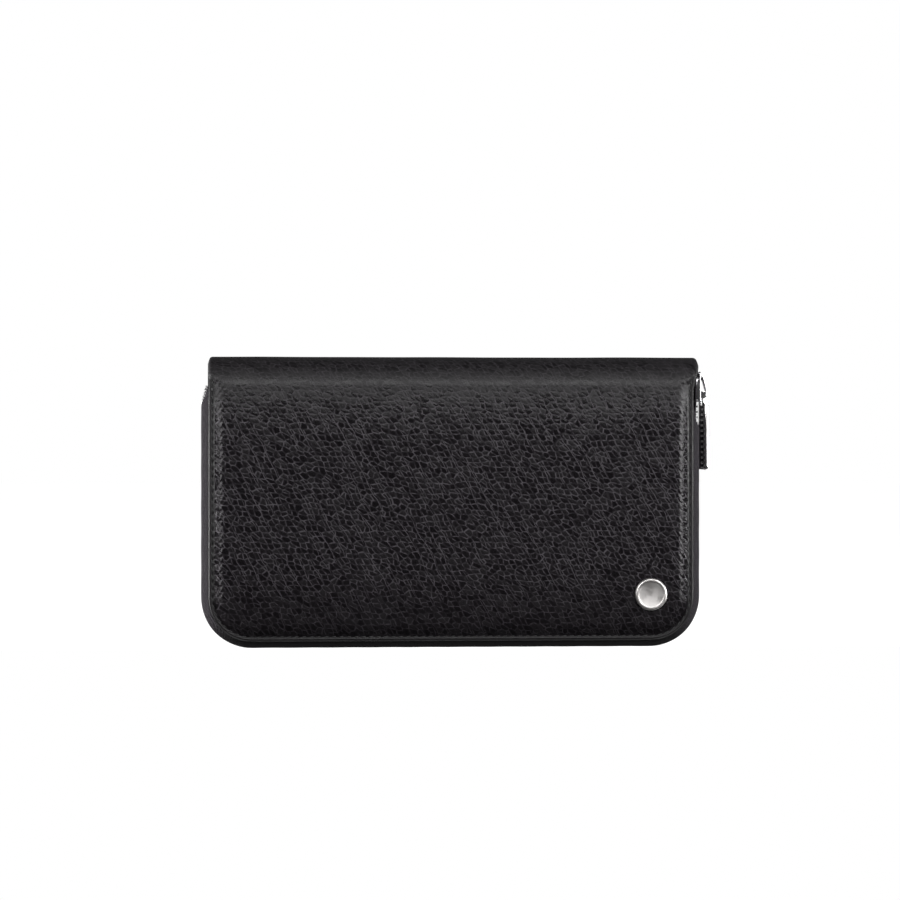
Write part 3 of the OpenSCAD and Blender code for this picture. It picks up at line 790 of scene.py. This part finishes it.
def split_off(obj, name, height):
    """Moves the faces above a height into a new piece and returns it."""
    upper = obj.copy()
    upper.data = obj.data.copy()
    upper.name = upper.data.name = name
    bpy.context.scene.collection.objects.link(upper)
    for piece, above in ((obj, True), (upper, False)):
        shape = bmesh.new()
        shape.from_mesh(piece.data)
        unwanted = [f for f in shape.faces if (f.calc_center_median().z > height) == above]
        bmesh.ops.delete(shape, geom=unwanted, context="FACES")
        caps = bmesh.ops.holes_fill(shape, edges=[e for e in shape.edges if e.is_boundary])["faces"]
        for edge in {e for cap in caps for e in cap.edges}:
            edge.smooth = False
        shape.to_mesh(piece.data)
        shape.free()
    return upper


def bend_zip(piece, side, ends_name):
    """The back half rides its cover; the front half's upper ends are split off as a piece of their own."""
    if side > 0:
        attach(piece, "back")
        return
    ends = split_off(piece, ends_name, zip_bend)
    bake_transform(ends)
    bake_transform(piece)


twill = twill_material()
for label, side in halves:
    tape = swept_tape("zip_tape_outer_" + label, side)
    dress(tape, [twill], ["zip_tape_" + label])
    bend_zip(tape, side, "zip_tape_ends_front")

# Zip teeth: small stamped metal teeth clamped on the edge of each tape, plated dark.
# The two rows are half a pitch apart and mesh.
tooth_pitch = 2.1 * MM
tooth_width = 0.86 * MM
tooth_chamfer = 0.14 * MM
most_shrink = 0.12 * MM
first_tooth = 4.4 * MM
last_gap = 2.5 * MM
tooth_path_step = 0.25 * MM
points_per_tooth = 4
half_tooth = tooth_thick / 2 / MM
leg_gap = tape_thick / 2 / MM + 0.03
tooth_legs = [(-2.6, half_tooth), (-3.1, half_tooth - 0.3), (-3.1, leg_gap), (-1.34, leg_gap)]
tooth_head = [(0.1, -half_tooth), (0.7, 0.4 - half_tooth)]
smear_dull = 0.82  # share of a metal's brightness that is left in its smears


def clamped(legs, head, side):
    """Outline of a tooth in metres, from one leg and half of the head in mm, both mirrored."""
    outline = []
    for half in (legs, head):
        outline += half + [(y, -z) for y, z in reversed(half)]
    return [(-side * y * MM, z * MM) for y, z in outline]


def one_tooth(name, outline, width, chamfer):
    """One tooth: an outline across the tape (Y) and out of it (Z), as wide as given along X."""
    shape = bmesh.new()
    rings = []
    centre = np.mean(outline, axis=0)
    edge = width / 2
    for x, shrink in ((-edge, chamfer), (chamfer - edge, 0), (edge - chamfer, 0), (edge, chamfer)):
        ring = []
        for y, z in outline:
            inward = np.sign(centre - (y, z)) * min(shrink, most_shrink)
            ring.append(shape.verts.new((x, y + inward[0], z + inward[1])))
        rings.append(ring)
    count = len(outline)
    for near, far in zip(rings, rings[1:]):
        for i in range(count):
            j = (i + 1) % count
            shape.faces.new((near[i], near[j], far[j], far[i]))
    shape.faces.new(rings[0][::-1])
    shape.faces.new(rings[-1])
    bmesh.ops.recalc_face_normals(shape, faces=shape.faces)
    mesh = bpy.data.meshes.new(name)
    shape.to_mesh(mesh)
    shape.free()
    return add_object(name, mesh)


def tooth_tree():
    """Copies of one tooth every Pitch along a path."""
    inputs = [("Pitch", "Float"), ("Tooth", "Object"), ("Material", "Material")]
    tree, given, result = geometry_tree("tooth_row", inputs)
    points, facing = along_path(tree, given)
    shape = tree.nodes.new("GeometryNodeObjectInfo")
    tree.links.new(given.outputs["Tooth"], shape.inputs["Object"])
    set_copies(tree, given, result, Points=points, Instance=shape.outputs["Geometry"], Rotation=facing)
    return tree


def row_of_teeth(path, outline, width, chamfer, pitch):
    """Grows teeth of this outline along a path and returns the row."""
    tooth = one_tooth(path.name + "_tooth", outline, width, chamfer)
    row = grown(path, tooth_row, False, Pitch=pitch, Tooth=tooth, Material=tooth_metal)
    bpy.data.objects.remove(tooth)
    return row


def tooth_path(name, start):
    """Path for a row of teeth: the zip's line at their depth, from the first tooth to the last."""
    x, z, turn, radius = zip_line(tooth_path_step)
    level = np.zeros(len(x))
    out = radius + teeth_at * MM
    line = np.stack([mid_x + x + out * np.cos(turn), level, z - out * np.sin(turn)], axis=-1)
    outs = np.stack([np.cos(turn), level, -np.sin(turn)], axis=-1)
    length = np.concatenate([[0], np.cumsum(np.linalg.norm(np.diff(line, axis=0), axis=1))])
    tooth_count = int((length[-1] - first_tooth - last_gap) / tooth_pitch)
    wanted = start + np.arange((tooth_count - 1) * points_per_tooth + 1) * tooth_pitch / points_per_tooth

    def at_wanted(values):
        return np.stack([np.interp(wanted, length, column) for column in values.T], axis=-1)

    return path_object(name, at_wanted(line), at_wanted(outs))


def metal_material(name, colour, roughness, wear=0.35, relief=0.02 * MM):
    """Plated metal with faint smears and scratches in its polish."""
    material, tree, shader = new_material(name, roughness=roughness)
    smears = placed_texture(tree, "ShaderNodeTexNoise", Scale=240.0, Detail=4.0, Roughness=0.6)["Fac"]
    dull = tuple(c * smear_dull for c in colour)
    tree.links.new(mixed(tree, ramp(tree, smears, 0.3, 0.75), colour, dull), shader.inputs["Base Color"])
    low, high = roughness * (1 - wear), roughness * (1 + wear)
    tree.links.new(ramp(tree, smears, 0.25, 0.75, low, high), shader.inputs["Roughness"])
    shader.inputs["Metallic"].default_value = 1.0
    bumped(tree, shader, smears, relief, 0.5)
    return material


tooth_metal = metal_material("tooth_metal", (0.27, 0.265, 0.27), 0.36)
tooth_row = tooth_tree()
for label, side in halves:
    offset = tooth_pitch / 2 if side > 0 else 0
    path = tooth_path("zip_teeth_row_" + label, first_tooth + offset)
    row = row_of_teeth(path, clamped(tooth_legs, tooth_head, side), tooth_width, tooth_chamfer, tooth_pitch)
    dress(row, nodes=["zip_teeth_" + label])
    bend_zip(row, side, "zip_teeth_ends_front")

# End stops: short plated bars at the two ends of the zip, pressed on the edge of each tape,
# so that the slider can't run off.
stop_round = 0.15 * MM
edge_segments = 3
merge_distance = 1e-6
flat_angle = math.radians(1)
sharp_angle = math.radians(35)
shade_angle = math.radians(30)


def round_edges(shape, edges, radius, segments):
    """Rounds these edges of a bmesh."""
    bmesh.ops.bevel(
        shape, geom=edges, offset=radius, segments=segments, profile=0.5, affect="EDGES", clamp_overlap=True
    )


def softened(name, node, radius, first=None):
    """Copy of a CAD node with its sharp edges rounded; first may shape it before that."""
    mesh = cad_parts[node].data.copy()
    mesh.name = name
    shape = bmesh.new()
    shape.from_mesh(mesh)
    bmesh.ops.remove_doubles(shape, verts=shape.verts, dist=merge_distance)
    bmesh.ops.dissolve_limit(shape, angle_limit=flat_angle, verts=shape.verts, edges=shape.edges)
    if first:
        first(shape)
    sharp = [e for e in shape.edges if len(e.link_faces) == 2 and e.calc_face_angle(0) > sharp_angle]
    round_edges(shape, sharp, radius, edge_segments)
    bmesh.ops.triangulate(shape, faces=[f for f in shape.faces if len(f.verts) > 4])
    shape.to_mesh(mesh)
    shape.free()
    mesh.materials.clear()
    mesh.polygons.foreach_set("material_index", [0] * len(mesh.polygons))
    mesh.polygons.foreach_set("use_smooth", [True] * len(mesh.polygons))
    mesh.set_sharp_from_angle(angle=shade_angle)
    return add_object(name, mesh)


for label, side in halves:
    node = "zip_stops_" + label
    stops = softened("zip_end_stops_" + label, node, stop_round)
    dress(stops, [tooth_metal], [node])
    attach(stops, "back")

# Slider: a zinc die casting with a wedge inside that parts the two rows of teeth. Its body and
# the arch on top that holds the pull are plated and polished bright.
slider_round = 0.22 * MM
slider_metal = metal_material("slider_chrome", (0.52, 0.51, 0.53), 0.14)
for node in ("slider_body", "slider_bridge"):
    casting = softened("zip_" + node, node, slider_round)
    dress(casting, [slider_metal], [node])
    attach(casting, "slider")

# Pull: a flat bar of polished brass under bright plating, with two arms and a pin that goes
# through the slider's arch. It hangs turned a little, so that its inner face mirrors the teeth.
pull_low, pull_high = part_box("pull_tab")
pull_round = 0.2 * MM
pin_r = 0.75 * MM
pin_clear = 1.3 * pin_r
bar_top = pull_high.z - 4.75 * MM
bar_edge = pull_high.y - 1.6 * MM
bar_foot = pull_low.z + 2 * MM
bar_round = 0.85 * MM
bar_segments = 6
bar_set = 0.6 * MM
bar_back = pull_low.x + 0.4 * MM
arm_foot = bar_top + 0.2 * MM
pull_twist = math.radians(9.5)


def ground_edges(shape):
    """Sets the bar in line with its arms and rounds the rim of its two faces, as polishing does."""
    for point in shape.verts:
        if point.co.z < arm_foot and point.co.x > bar_back:
            point.co.x -= bar_set
    rim = []
    for edge in shape.edges:
        on_rim = all(abs(v.co.y) > bar_edge or v.co.z < bar_foot for v in edge.verts)
        at_top = all(v.co.z > bar_top - slack for v in edge.verts)
        flat = abs(edge.verts[0].co.x - edge.verts[1].co.x) < slack
        if on_rim and flat and not at_top and edge.calc_face_angle(0) > sharp_angle:
            rim.append(edge)
    round_edges(shape, rim, bar_round, bar_segments)


pull_metal = metal_material("pull_chrome", (0.78, 0.77, 0.77), 0.09)
pull = softened("zip_pull", "pull_tab", pull_round, first=ground_edges)
pin = Vector((pull_low.x + pin_r, 0, pull_high.z - pin_r))
twist = Matrix.Rotation(pull_twist, 3, "Z")
for point in pull.data.vertices:
    away = point.co - pin
    if math.hypot(away.x, away.z) > pin_clear:
        point.co = pin + twist @ away
dress(pull, [pull_metal], ["pull_tab"])
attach(pull, "pull")

# Disc: a small plain round of brushed, satin-plated metal with a raised rim, riveted through
# the leather to a washer inside the padding.
satin = metal_material("satin_plate", (0.62, 0.6, 0.59), 0.34, wear=0.2, relief=0.03 * MM)
disc_rounds = (("cover_disc", "disc_plate", 0.12 * MM), ("disc_inner_washer", "disc_washer", 0.08 * MM))
for name, node, radius in disc_rounds:
    round_plate = softened(name, node, radius)
    dress(round_plate, [satin], [node])
    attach(round_plate, "front")

# Boards: grey-brown pressed fibre, cut to the cover's shape, that keep the covers flat.
# They are glued between the padding and the lining.
fibre_board = flecked(
    "fibre_board", roughness=0.85, specular=0.2, scale=700.0, detail=4.0,
    dark=(0.09, 0.07, 0.05), light=(0.2, 0.16, 0.11), relief=0.1 * MM, strength=0.6,
)
for node in ("front_board", "back_board"):
    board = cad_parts[node].data
    board.materials.clear()
    board.materials.append(fibre_board)

# Padding: thin open-cell foam glued on each board and round the spine, which swells the leather
# between its stitched edges. It is thinner at its rim, where the leather turns down to the margin.
foam_low, foam_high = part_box("front_padding")
foam_inner = -foam_high.y
foam_outer = -foam_low.y
foam_inset = 3.8 * MM
foam_lift = 0.05 * MM
foam_round = 0.9 * MM
foam_swell = 0.08 * MM
swell_run = 30 * MM
washer_room = 3.6 * MM
washer_sink = 0.75 * MM
disc_low, disc_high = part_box("disc_plate")
disc_x = (disc_low.x + disc_high.x) / 2 - mid_x
disc_z = (disc_low.z + disc_high.z) / 2
spine_foam_low, spine_foam_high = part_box("spine_padding")
spine_foam_inset = 2.6 * MM
roll_steps = 60
quarter_points = 25
sheet_step = 1.2 * MM
sheet_rim_step = 0.3 * MM
sheet_rim = 3 * MM
rim_share_step = 0.0025  # shares of the sheet's half width
rim_share = 0.025
lining_low, lining_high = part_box("front_lining")
lining_inner, lining_outer = -lining_high.y, -lining_low.y
foam_dark = (0.1, 0.098, 0.09)
foam_grey = (0.3, 0.29, 0.26)


def cover_sheet(name, side, inset, inner, outer):
    """Closed sheet with the cover's outline drawn in; inner and outer give depths from x, z and inset."""
    turn = corner_r - inset
    low_rows = cover_z + inset + spaced(turn, sheet_rim_step, sheet_rim, sheet_step)
    row_z = np.concatenate([low_rows, np.arange(corner_z + sheet_step, axis_z, sheet_step), [axis_z]])
    row_half = corner_x + np.sqrt(turn**2 - np.clip(corner_z - row_z, 0, turn) ** 2)
    near = spaced(1, rim_share_step, rim_share, sheet_step / half_w)
    share = np.concatenate([-1 + near, 1 - near[-2::-1]])
    x = row_half[:, None] * share[None, :]
    z = np.repeat(row_z[:, None], x.shape[1], axis=1)
    edge = np.maximum(inset_from_edge(x, z) - inset, 0)
    grids = [np.stack([mid_x + x, side * depths(x, z, edge), z], axis=-1) for depths in (inner, outer)]
    index = np.arange(x.size).reshape(x.shape)
    rim = np.concatenate([index[0, :], index[1:, -1], index[-1, -2::-1], index[-2::-1, 0]])
    a, b = rim[:-1], rim[1:]
    wall = (a, b, b + x.size, a + x.size)
    wall_faces = np.stack(wall[::-1] if side < 0 else wall, axis=-1)
    faces = np.concatenate([quads(index, flip=side < 0), quads(index + x.size, flip=side > 0), wall_faces])
    uv = np.stack([x, z], axis=-1).reshape(-1, 2) / GRAIN_UNIT
    return mesh_object(name, np.concatenate(grids).reshape(-1, 3), faces, np.concatenate([uv, uv]))


def flat_at(level):
    """Depths of a sheet's face that is flat."""
    return lambda x, z, edge: np.full(x.shape, level)


def foam_top(side):
    """Depths of the foam's outer face: crowned, under the leather, and hollow for the front's washer."""

    def depth(x, z, edge):
        t = np.clip(edge / foam_round, 0, 1)
        top = foam_inner + slack + (foam_outer - foam_inner - 2 * slack) * np.sqrt(1 - (1 - t) ** 2)
        swell = foam_swell * np.clip(edge / swell_run, 0, 1)
        under = leather_depth(x, z, np.zeros(x.shape), edge + foam_inset) - leather_thick
        top = np.maximum(np.minimum(top + swell, under), foam_inner + slack)
        at_washer = (side < 0) & (np.hypot(x - disc_x, z - disc_z) < washer_room)
        return np.where(at_washer, np.minimum(top, foam_outer - washer_sink), top)

    return depth


def foam_material():
    """Grey open-cell foam with fine pores."""
    material, tree, shader = new_material("grey_foam", roughness=0.9, specular=0.2)
    pores = placed_texture(tree, "ShaderNodeTexVoronoi", Scale=1600.0)["Distance"]
    colour = mixed(tree, ramp(tree, pores, 0.1, 0.6), foam_dark, foam_grey)
    tree.links.new(colour, shader.inputs["Base Color"])
    bumped(tree, shader, pores, 0.2 * MM, 0.7)
    return material


def drawn(name, loop, start, end, along="x", steps=60):
    """Closed piece: a loop of points drawn straight along x, as (y, z), or along z, as (x, y)."""
    loop = np.asarray(loop)
    ahead = np.roll(loop, -1, axis=0)
    if np.sum(loop[:, 0] * ahead[:, 1] - ahead[:, 0] * loop[:, 1]) < 0:
        loop = loop[::-1]
        ahead = np.roll(loop, -1, axis=0)
    around = np.concatenate([[0], np.cumsum(np.linalg.norm(ahead - loop, axis=1))[:-1]])
    points, uvs = [], []
    for place in np.linspace(start, end, steps):
        for (u, v), run in zip(loop, around):
            points.append((place, u, v) if along == "x" else (u, v, place))
            uvs.append((place / GRAIN_UNIT, run / GRAIN_UNIT))
    index = ring_table(steps, len(loop))
    caps = [index[0, -2::-1], index[-1, :-1]]
    return mesh_object(name, points, [*quads(index), *caps], uvs)


def spine_quarter(side, inner, outer, drop=0.0):
    """Section of a quarter tube on one side of the spine's top, drawn in by drop where it meets the cover."""
    arcs = np.linspace(0, math.pi / 2, quarter_points)
    radii = np.concatenate([outer - drop * np.cos(arcs), np.full(len(arcs), inner)])
    angles = there_and_back(arcs)
    return np.stack([side * radii * np.cos(angles), axis_z + radii * np.sin(angles)], axis=-1)


foam = foam_material()
for label, side in halves:
    pad = cover_sheet(label + "_foam", side, foam_inset, flat_at(foam_inner + foam_lift), foam_top(side))
    dress(pad, [foam], [label + "_padding"])
    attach(pad, label)
    section = spine_quarter(side, lining_outer + slack, foam_outer - slack, crown)
    left, right = spine_foam_low.x + spine_foam_inset, spine_foam_high.x - spine_foam_inset
    roll = drawn("spine_foam_" + label, section, left, right, steps=roll_steps)
    dress(roll, [foam], ["spine_padding"] if side < 0 else [])
    bend_half(roll, side)

# Linings: thin black nappa skived to half a millimetre, glued on the boards and round the inside
# of the spine, with its edge caught in the outer seam.
lining_inset = 1 * MM
lining_turn = 0.06 * MM
turn_width = 0.4 * MM
spine_lining_low, spine_lining_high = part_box("spine_lining")
nappa_black = (0.013, 0.0125, 0.0135)
nappa_soft = (0.02, 0.0195, 0.0205)
nappa_crease = (0.034, 0.033, 0.034)


def nappa_material():
    """Smooth black nappa with a fine, even grain."""
    material, tree, shader = new_material("lining_nappa", roughness=0.5, specular=0.35)
    pores = add_node(tree, "ShaderNodeGroup", {"node_tree": grain}, Pebble=0.9, Lean=0.2)
    tree.links.new(surface_mm(tree), pores.inputs["Surface"])
    top = mixed(tree, pores.outputs["Tone"], nappa_black, nappa_soft)
    tree.links.new(mixed(tree, pores.outputs["Crease"], top, nappa_crease), shader.inputs["Base Color"])
    tree.links.new(ramp(tree, pores.outputs["Crease"], 0, 1, 0.46, 0.62), shader.inputs["Roughness"])
    bumped(tree, shader, pores.outputs["Height"], 0.06 * MM, 0.7)
    return material


def lining_face(x, z, edge):
    """Depths of the lining's inner face, turned down at its edge."""
    return lining_inner + lining_turn * (1 - np.clip(edge / turn_width, 0, 1)) ** 2


nappa = nappa_material()
for label, side in halves:
    lining = cover_sheet(label + "_lining_leather", side, lining_inset, lining_face, flat_at(lining_outer))
    dress(lining, [nappa], [label + "_lining"])
    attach(lining, label)
    section = spine_quarter(side, lining_inner, lining_outer)
    left, right = spine_lining_low.x, spine_lining_high.x
    roll = drawn("spine_lining_" + label, section, left, right, steps=roll_steps)
    dress(roll, [nappa], ["spine_lining"] if side < 0 else [])
    bend_half(roll, side)

# Card pockets: four stepped layers of thin nappa on each lining, their mouths towards the zip.
# Each mouth is turned, rounded and stitched; the layers are held along their sides and top.
tiers = 4
tier_steps = 90
mouth_points = 9
mouth_seam = 2.2 * MM
seam_dent = 0.08 * MM
dent_half = 0.4 * MM
seam_end = 2 * MM
card_seam_step = 0.6 * MM
card_thread_proud = 0.03 * MM
card_stitch = {"Pitch": 2.4 * MM, "Length": 1.7 * MM, "Width": 0.34 * MM, "Slant": 0.0, "Material": thread}


def tier_loop(side, near, far, mouth, top):
    """Section of a card pocket layer with its turned, rounded mouth; depths near and far."""
    middle, bead = (near + far) / 2, (far - near) / 2
    seam_z = mouth + mouth_seam
    loop = [(near, top), (near, seam_z + dent_half), (near + seam_dent, seam_z), (near, seam_z - dent_half)]
    for angle in np.linspace(math.pi, 2 * math.pi, mouth_points):
        loop.append((middle + bead * math.cos(angle), mouth + bead + bead * math.sin(angle)))
    return [(side * depth, z) for depth, z in [*loop, (far, top)]]


for label, side in halves:
    for k in range(1, tiers + 1):
        node = f"{label}_card_tier_{k}"
        low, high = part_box(node)
        near, far = sorted((abs(low.y), abs(high.y)))
        section = tier_loop(side, near, far, low.z, high.z)
        tier = drawn(node + "_leather", section, low.x, high.x, steps=tier_steps)
        dress(tier, [nappa], [node])
        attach(tier, label)
        count = int((high.x - low.x - 2 * seam_end) / card_seam_step)
        line_x = np.linspace(low.x + seam_end, high.x - seam_end, count)
        line = [(x, side * (near + card_thread_proud), low.z + mouth_seam) for x in line_x]
        path = path_object(f"{label}_card_stitches_{k}", line, [(0, -side, 0)] * count)
        seam = grown(path, stitches, True, **card_stitch)
        dress(seam)
        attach(seam, label)

# Gussets: folded strips of nappa that join each cover to the coin pocket beside its note space.
# Each is glued to its cover and to the pocket's wall, and its fold opens like a fan.
gusset_thick = 0.5 * MM
gusset_steps = 40
cover_tab = 2.6 * MM
pocket_tab = 1.8 * MM
tab_turn = 0.2 * MM
fold_drop = 1.1 * MM
fold_shift = 0.6 * MM


def gusset_loop(low, high, end, side):
    """Section of a gusset at the right (end 1) or left (end -1): its folded line with its thickness."""
    reach = high.x - mid_x if end > 0 else mid_x - low.x
    outer = max(abs(low.y), abs(high.y)) - gusset_thick / 2
    inner = min(abs(low.y), abs(high.y)) + gusset_thick / 2
    base = reach - cover_tab
    fold_x = min(abs(low.x - mid_x), abs(high.x - mid_x)) + gusset_thick
    line = [
        (base + cover_tab, outer),
        (base + tab_turn, outer),
        (base, outer - fold_drop),
        (fold_x, (outer + inner) / 2 - fold_shift),
        (base, inner + tab_turn),
        (base + pocket_tab, inner),
    ]
    loop = thick_loop(rounded_line(np.array(line)), gusset_thick)
    return np.stack([mid_x + end * loop[:, 0], side * loop[:, 1]], axis=-1)


for label, side in halves:
    for place, end in (("right", 1), ("left", -1)):
        node = f"gusset_{label}_{place}"
        low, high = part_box(node)
        loop = gusset_loop(low, high, end, side)
        fold = drawn(node + "_leather", loop, low.z, high.z, along="z", steps=gusset_steps)
        dress(fold, [nappa], [node])
        bend_half(fold, side)

# Coin pocket: two walls of nappa bound along the top and sides, with a short zip of its own
# at the lower mouth. The bindings are strips folded over the raw edges and sewn.
strip_round = 0.42  # share of a strip's thickness
strip_corner_points = 4


def rounded_box_loop(low, high, radius):
    """Rectangle with round corners between two points of a section."""
    (a0, b0), (a1, b1) = low, high
    left, right = a0 + radius, a1 - radius
    bottom, top = b0 + radius, b1 - radius
    centres = ((right, top), (left, top), (left, bottom), (right, bottom))
    loop = []
    for quarter, (a, b) in enumerate(centres):
        for angle in np.linspace(quarter * math.pi / 2, (quarter + 1) * math.pi / 2, strip_corner_points):
            loop.append((a + radius * math.cos(angle), b + radius * math.sin(angle)))
    return loop


strips = {"wall_front": "x", "wall_back": "x", "binding_top": "x", "binding_right": "z", "binding_left": "z"}
for label, along in strips.items():
    node = "coin_" + label
    low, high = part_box(node)
    section = (low.yz, high.yz) if along == "x" else (low.xy, high.xy)
    start, end = (low.x, high.x) if along == "x" else (low.z, high.z)
    thin = min(section[1] - section[0])
    strip = drawn(node + "_leather", rounded_box_loop(*section, thin * strip_round), start, end, along)
    dress(strip, [nappa], [node])
    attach(strip, "coin_pocket")

# Coin zip: a finer zip with narrow twill tapes sewn inside the pocket's walls, small clamped
# teeth, and a polished slider whose pull hangs below.
coin_half = 2.1 * MM
coin_wall_gap = 0.25 * MM
coin_tape_edge = 0.7 * MM
coin_tape_steps = 120
coin_low, coin_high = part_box("coin_zip_tape_front")
teeth_low, teeth_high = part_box("coin_zip_teeth_front")
coin_line_z = (teeth_low.z + teeth_high.z) / 2
coin_pitch = 1.7 * MM
coin_tooth_width = 0.7 * MM
coin_tooth_chamfer = 0.1 * MM
coin_legs = [(-1.4, 0.8), (-1.55, 0.6), (-1.55, 0.26), (-0.69, 0.26)]
coin_head = [(0.1, -0.8), (0.45, -0.5)]
coin_path_points = 400
coin_round = 0.14 * MM
coin_wall_y = coin_wall_gap - coin_half
coin_fold = np.array([(-coin_tape_edge, coin_line_z), (coin_wall_y, coin_line_z), (coin_wall_y, coin_high.z)])
for label, side in halves:
    loop = thick_loop(rounded_line(coin_fold), tape_thick) * (-side, 1)
    tape = drawn("coin_tape_" + label, loop, coin_low.x, coin_high.x, steps=coin_tape_steps)
    dress(tape, [twill], ["coin_zip_tape_" + label])
    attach(tape, "coin_pocket")
    node = "coin_zip_teeth_" + label
    low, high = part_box(node)
    first, last = low.x + coin_tooth_width / 2, high.x - coin_tooth_width / 2
    line = [(x, 0, coin_line_z) for x in np.linspace(first, last, coin_path_points)]
    path = path_object("coin_teeth_row_" + label, line, [(0, 0, 1)] * coin_path_points)
    outline = clamped(coin_legs, coin_head, side)
    row = row_of_teeth(path, outline, coin_tooth_width, coin_tooth_chamfer, coin_pitch)
    dress(row, nodes=[node])
    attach(row, "coin_pocket")
for node in ("coin_slider_body", "coin_slider_bridge", "coin_pull"):
    casting = softened(node + "_casting", node, coin_round)
    dress(casting, [slider_metal], [node])
    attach(casting, "coin_pull" if node == "coin_pull" else "coin_slider")

# Studio: a white table and surround, two broad softboxes above the front, a low strip at each
# side and a tall one at each front corner, all turned to the wallet.
scene = bpy.context.scene
scene.view_settings.view_transform = "Standard"
table_front = -0.0115  # the table's front edge lies under the wallet, so that no floor shows before it
table_size = 6
table_grey = (0.3, 0.3, 0.3, 1)
table_glow = 0.95
room_grey = 0.06
lamp_aim = Vector((mid_x, 0, 0.055))


def white_floor():
    """White table that stays white for the camera and still takes the wallet's shadow."""
    material, tree, shader = new_material("white_table", roughness=0.6, specular=0.2)
    shader.inputs["Base Color"].default_value = table_grey
    path = tree.nodes.new("ShaderNodeLightPath").outputs
    seen = maths(tree, "MAXIMUM", path["Is Camera Ray"], path["Is Glossy Ray"])
    seen = maths(tree, "MAXIMUM", seen, path["Is Transmission Ray"])
    glow = add_node(tree, "ShaderNodeEmission")
    tree.links.new(maths(tree, "MULTIPLY", seen, table_glow), glow.inputs["Strength"])
    both = tree.nodes.new("ShaderNodeAddShader")
    tree.links.new(shader.outputs[0], both.inputs[0])
    tree.links.new(glow.outputs[0], both.inputs[1])
    tree.links.new(both.outputs[0], tree.nodes["Material Output"].inputs["Surface"])
    return material


def studio_world():
    """White behind the wallet and for the camera, a dim grey room in front of it."""
    world = bpy.data.worlds.new("studio")
    world.use_nodes = True
    tree = world.node_tree
    background = tree.nodes["Background"]
    path = tree.nodes.new("ShaderNodeLightPath").outputs
    place = tree.nodes.new("ShaderNodeTexCoord")
    _, y, z = split(tree, place.outputs["Generated"])
    behind = ramp(tree, y, -0.1, 0.4)
    low = maths(tree, "MULTIPLY", ramp(tree, z, 0.01, 0.09, 1.0, 0.12), ramp(tree, z, -0.02, 0.0))
    white = maths(tree, "MULTIPLY", behind, low)
    backdrop = maths(tree, "ADD", maths(tree, "MULTIPLY", white, 1 - room_grey), room_grey)
    mirrored = maths(tree, "MAXIMUM", path["Is Glossy Ray"], path["Is Transmission Ray"])
    strength = maths(tree, "MAXIMUM", backdrop, maths(tree, "MULTIPLY", mirrored, white))
    strength = maths(tree, "MAXIMUM", strength, path["Is Camera Ray"])
    tree.links.new(strength, background.inputs["Strength"])
    background.inputs["Color"].default_value = (1, 1, 1, 1)
    return world


def softbox(name, place, width, height, power):
    """Area lamp that faces the wallet."""
    lamp = bpy.data.lights.new(name, "AREA")
    lamp.shape = "RECTANGLE"
    lamp.size = width
    lamp.size_y = height
    lamp.energy = power
    obj = add_object(name, lamp)
    obj.location = place
    obj.rotation_euler = (lamp_aim - Vector(place)).to_track_quat("-Z", "Y").to_euler()


front_edge = [(-table_size, table_front, 0), (table_size, table_front, 0)]
back_edge = [(table_size, table_size, 0), (-table_size, table_size, 0)]
floor = mesh_object("table", front_edge + back_edge, [(0, 1, 2, 3)])
floor.data.materials.append(white_floor())
scene.world = studio_world()
softbox("key_box", (-0.05, -0.62, 0.345), width=0.95, height=0.16, power=5.4)
softbox("top_box", (0, -0.26, 0.46), width=0.9, height=0.2, power=0.8)
softbox("left_strip", (-0.7, 0.05, 0.06), width=0.1, height=0.12, power=13.0)
softbox("right_strip", (0.7, 0.05, 0.06), width=0.1, height=0.12, power=3.4)
softbox("left_rim_strip", (-0.6, -0.5, 0.26), width=0.2, height=0.5, power=3.0)
softbox("right_rim_strip", (0.6, -0.5, 0.26), width=0.34, height=0.5, power=7.5)

# Camera: level and a few degrees round to the left, so that a sliver of the left side shows.
# The frame's width is what it takes in at the depth of the front cover's edge.
view_yaw = math.radians(4.3)
view_distance = 1.2
view_height = 0.0771
view_shift = 0.95 * MM
frame_width = 0.3508
aim = Vector((mid_x - view_shift, -edge_depth, view_height))
lens = bpy.data.cameras.new("camera")
lens.sensor_width = 36
lens.lens = lens.sensor_width * view_distance / frame_width
camera = add_object("camera", lens)
camera.location = aim + view_distance * Vector((-math.sin(view_yaw), -math.cos(view_yaw), 0))
camera.rotation_euler = (aim - camera.location).to_track_quat("-Z", "Y").to_euler()
scene.camera = camera
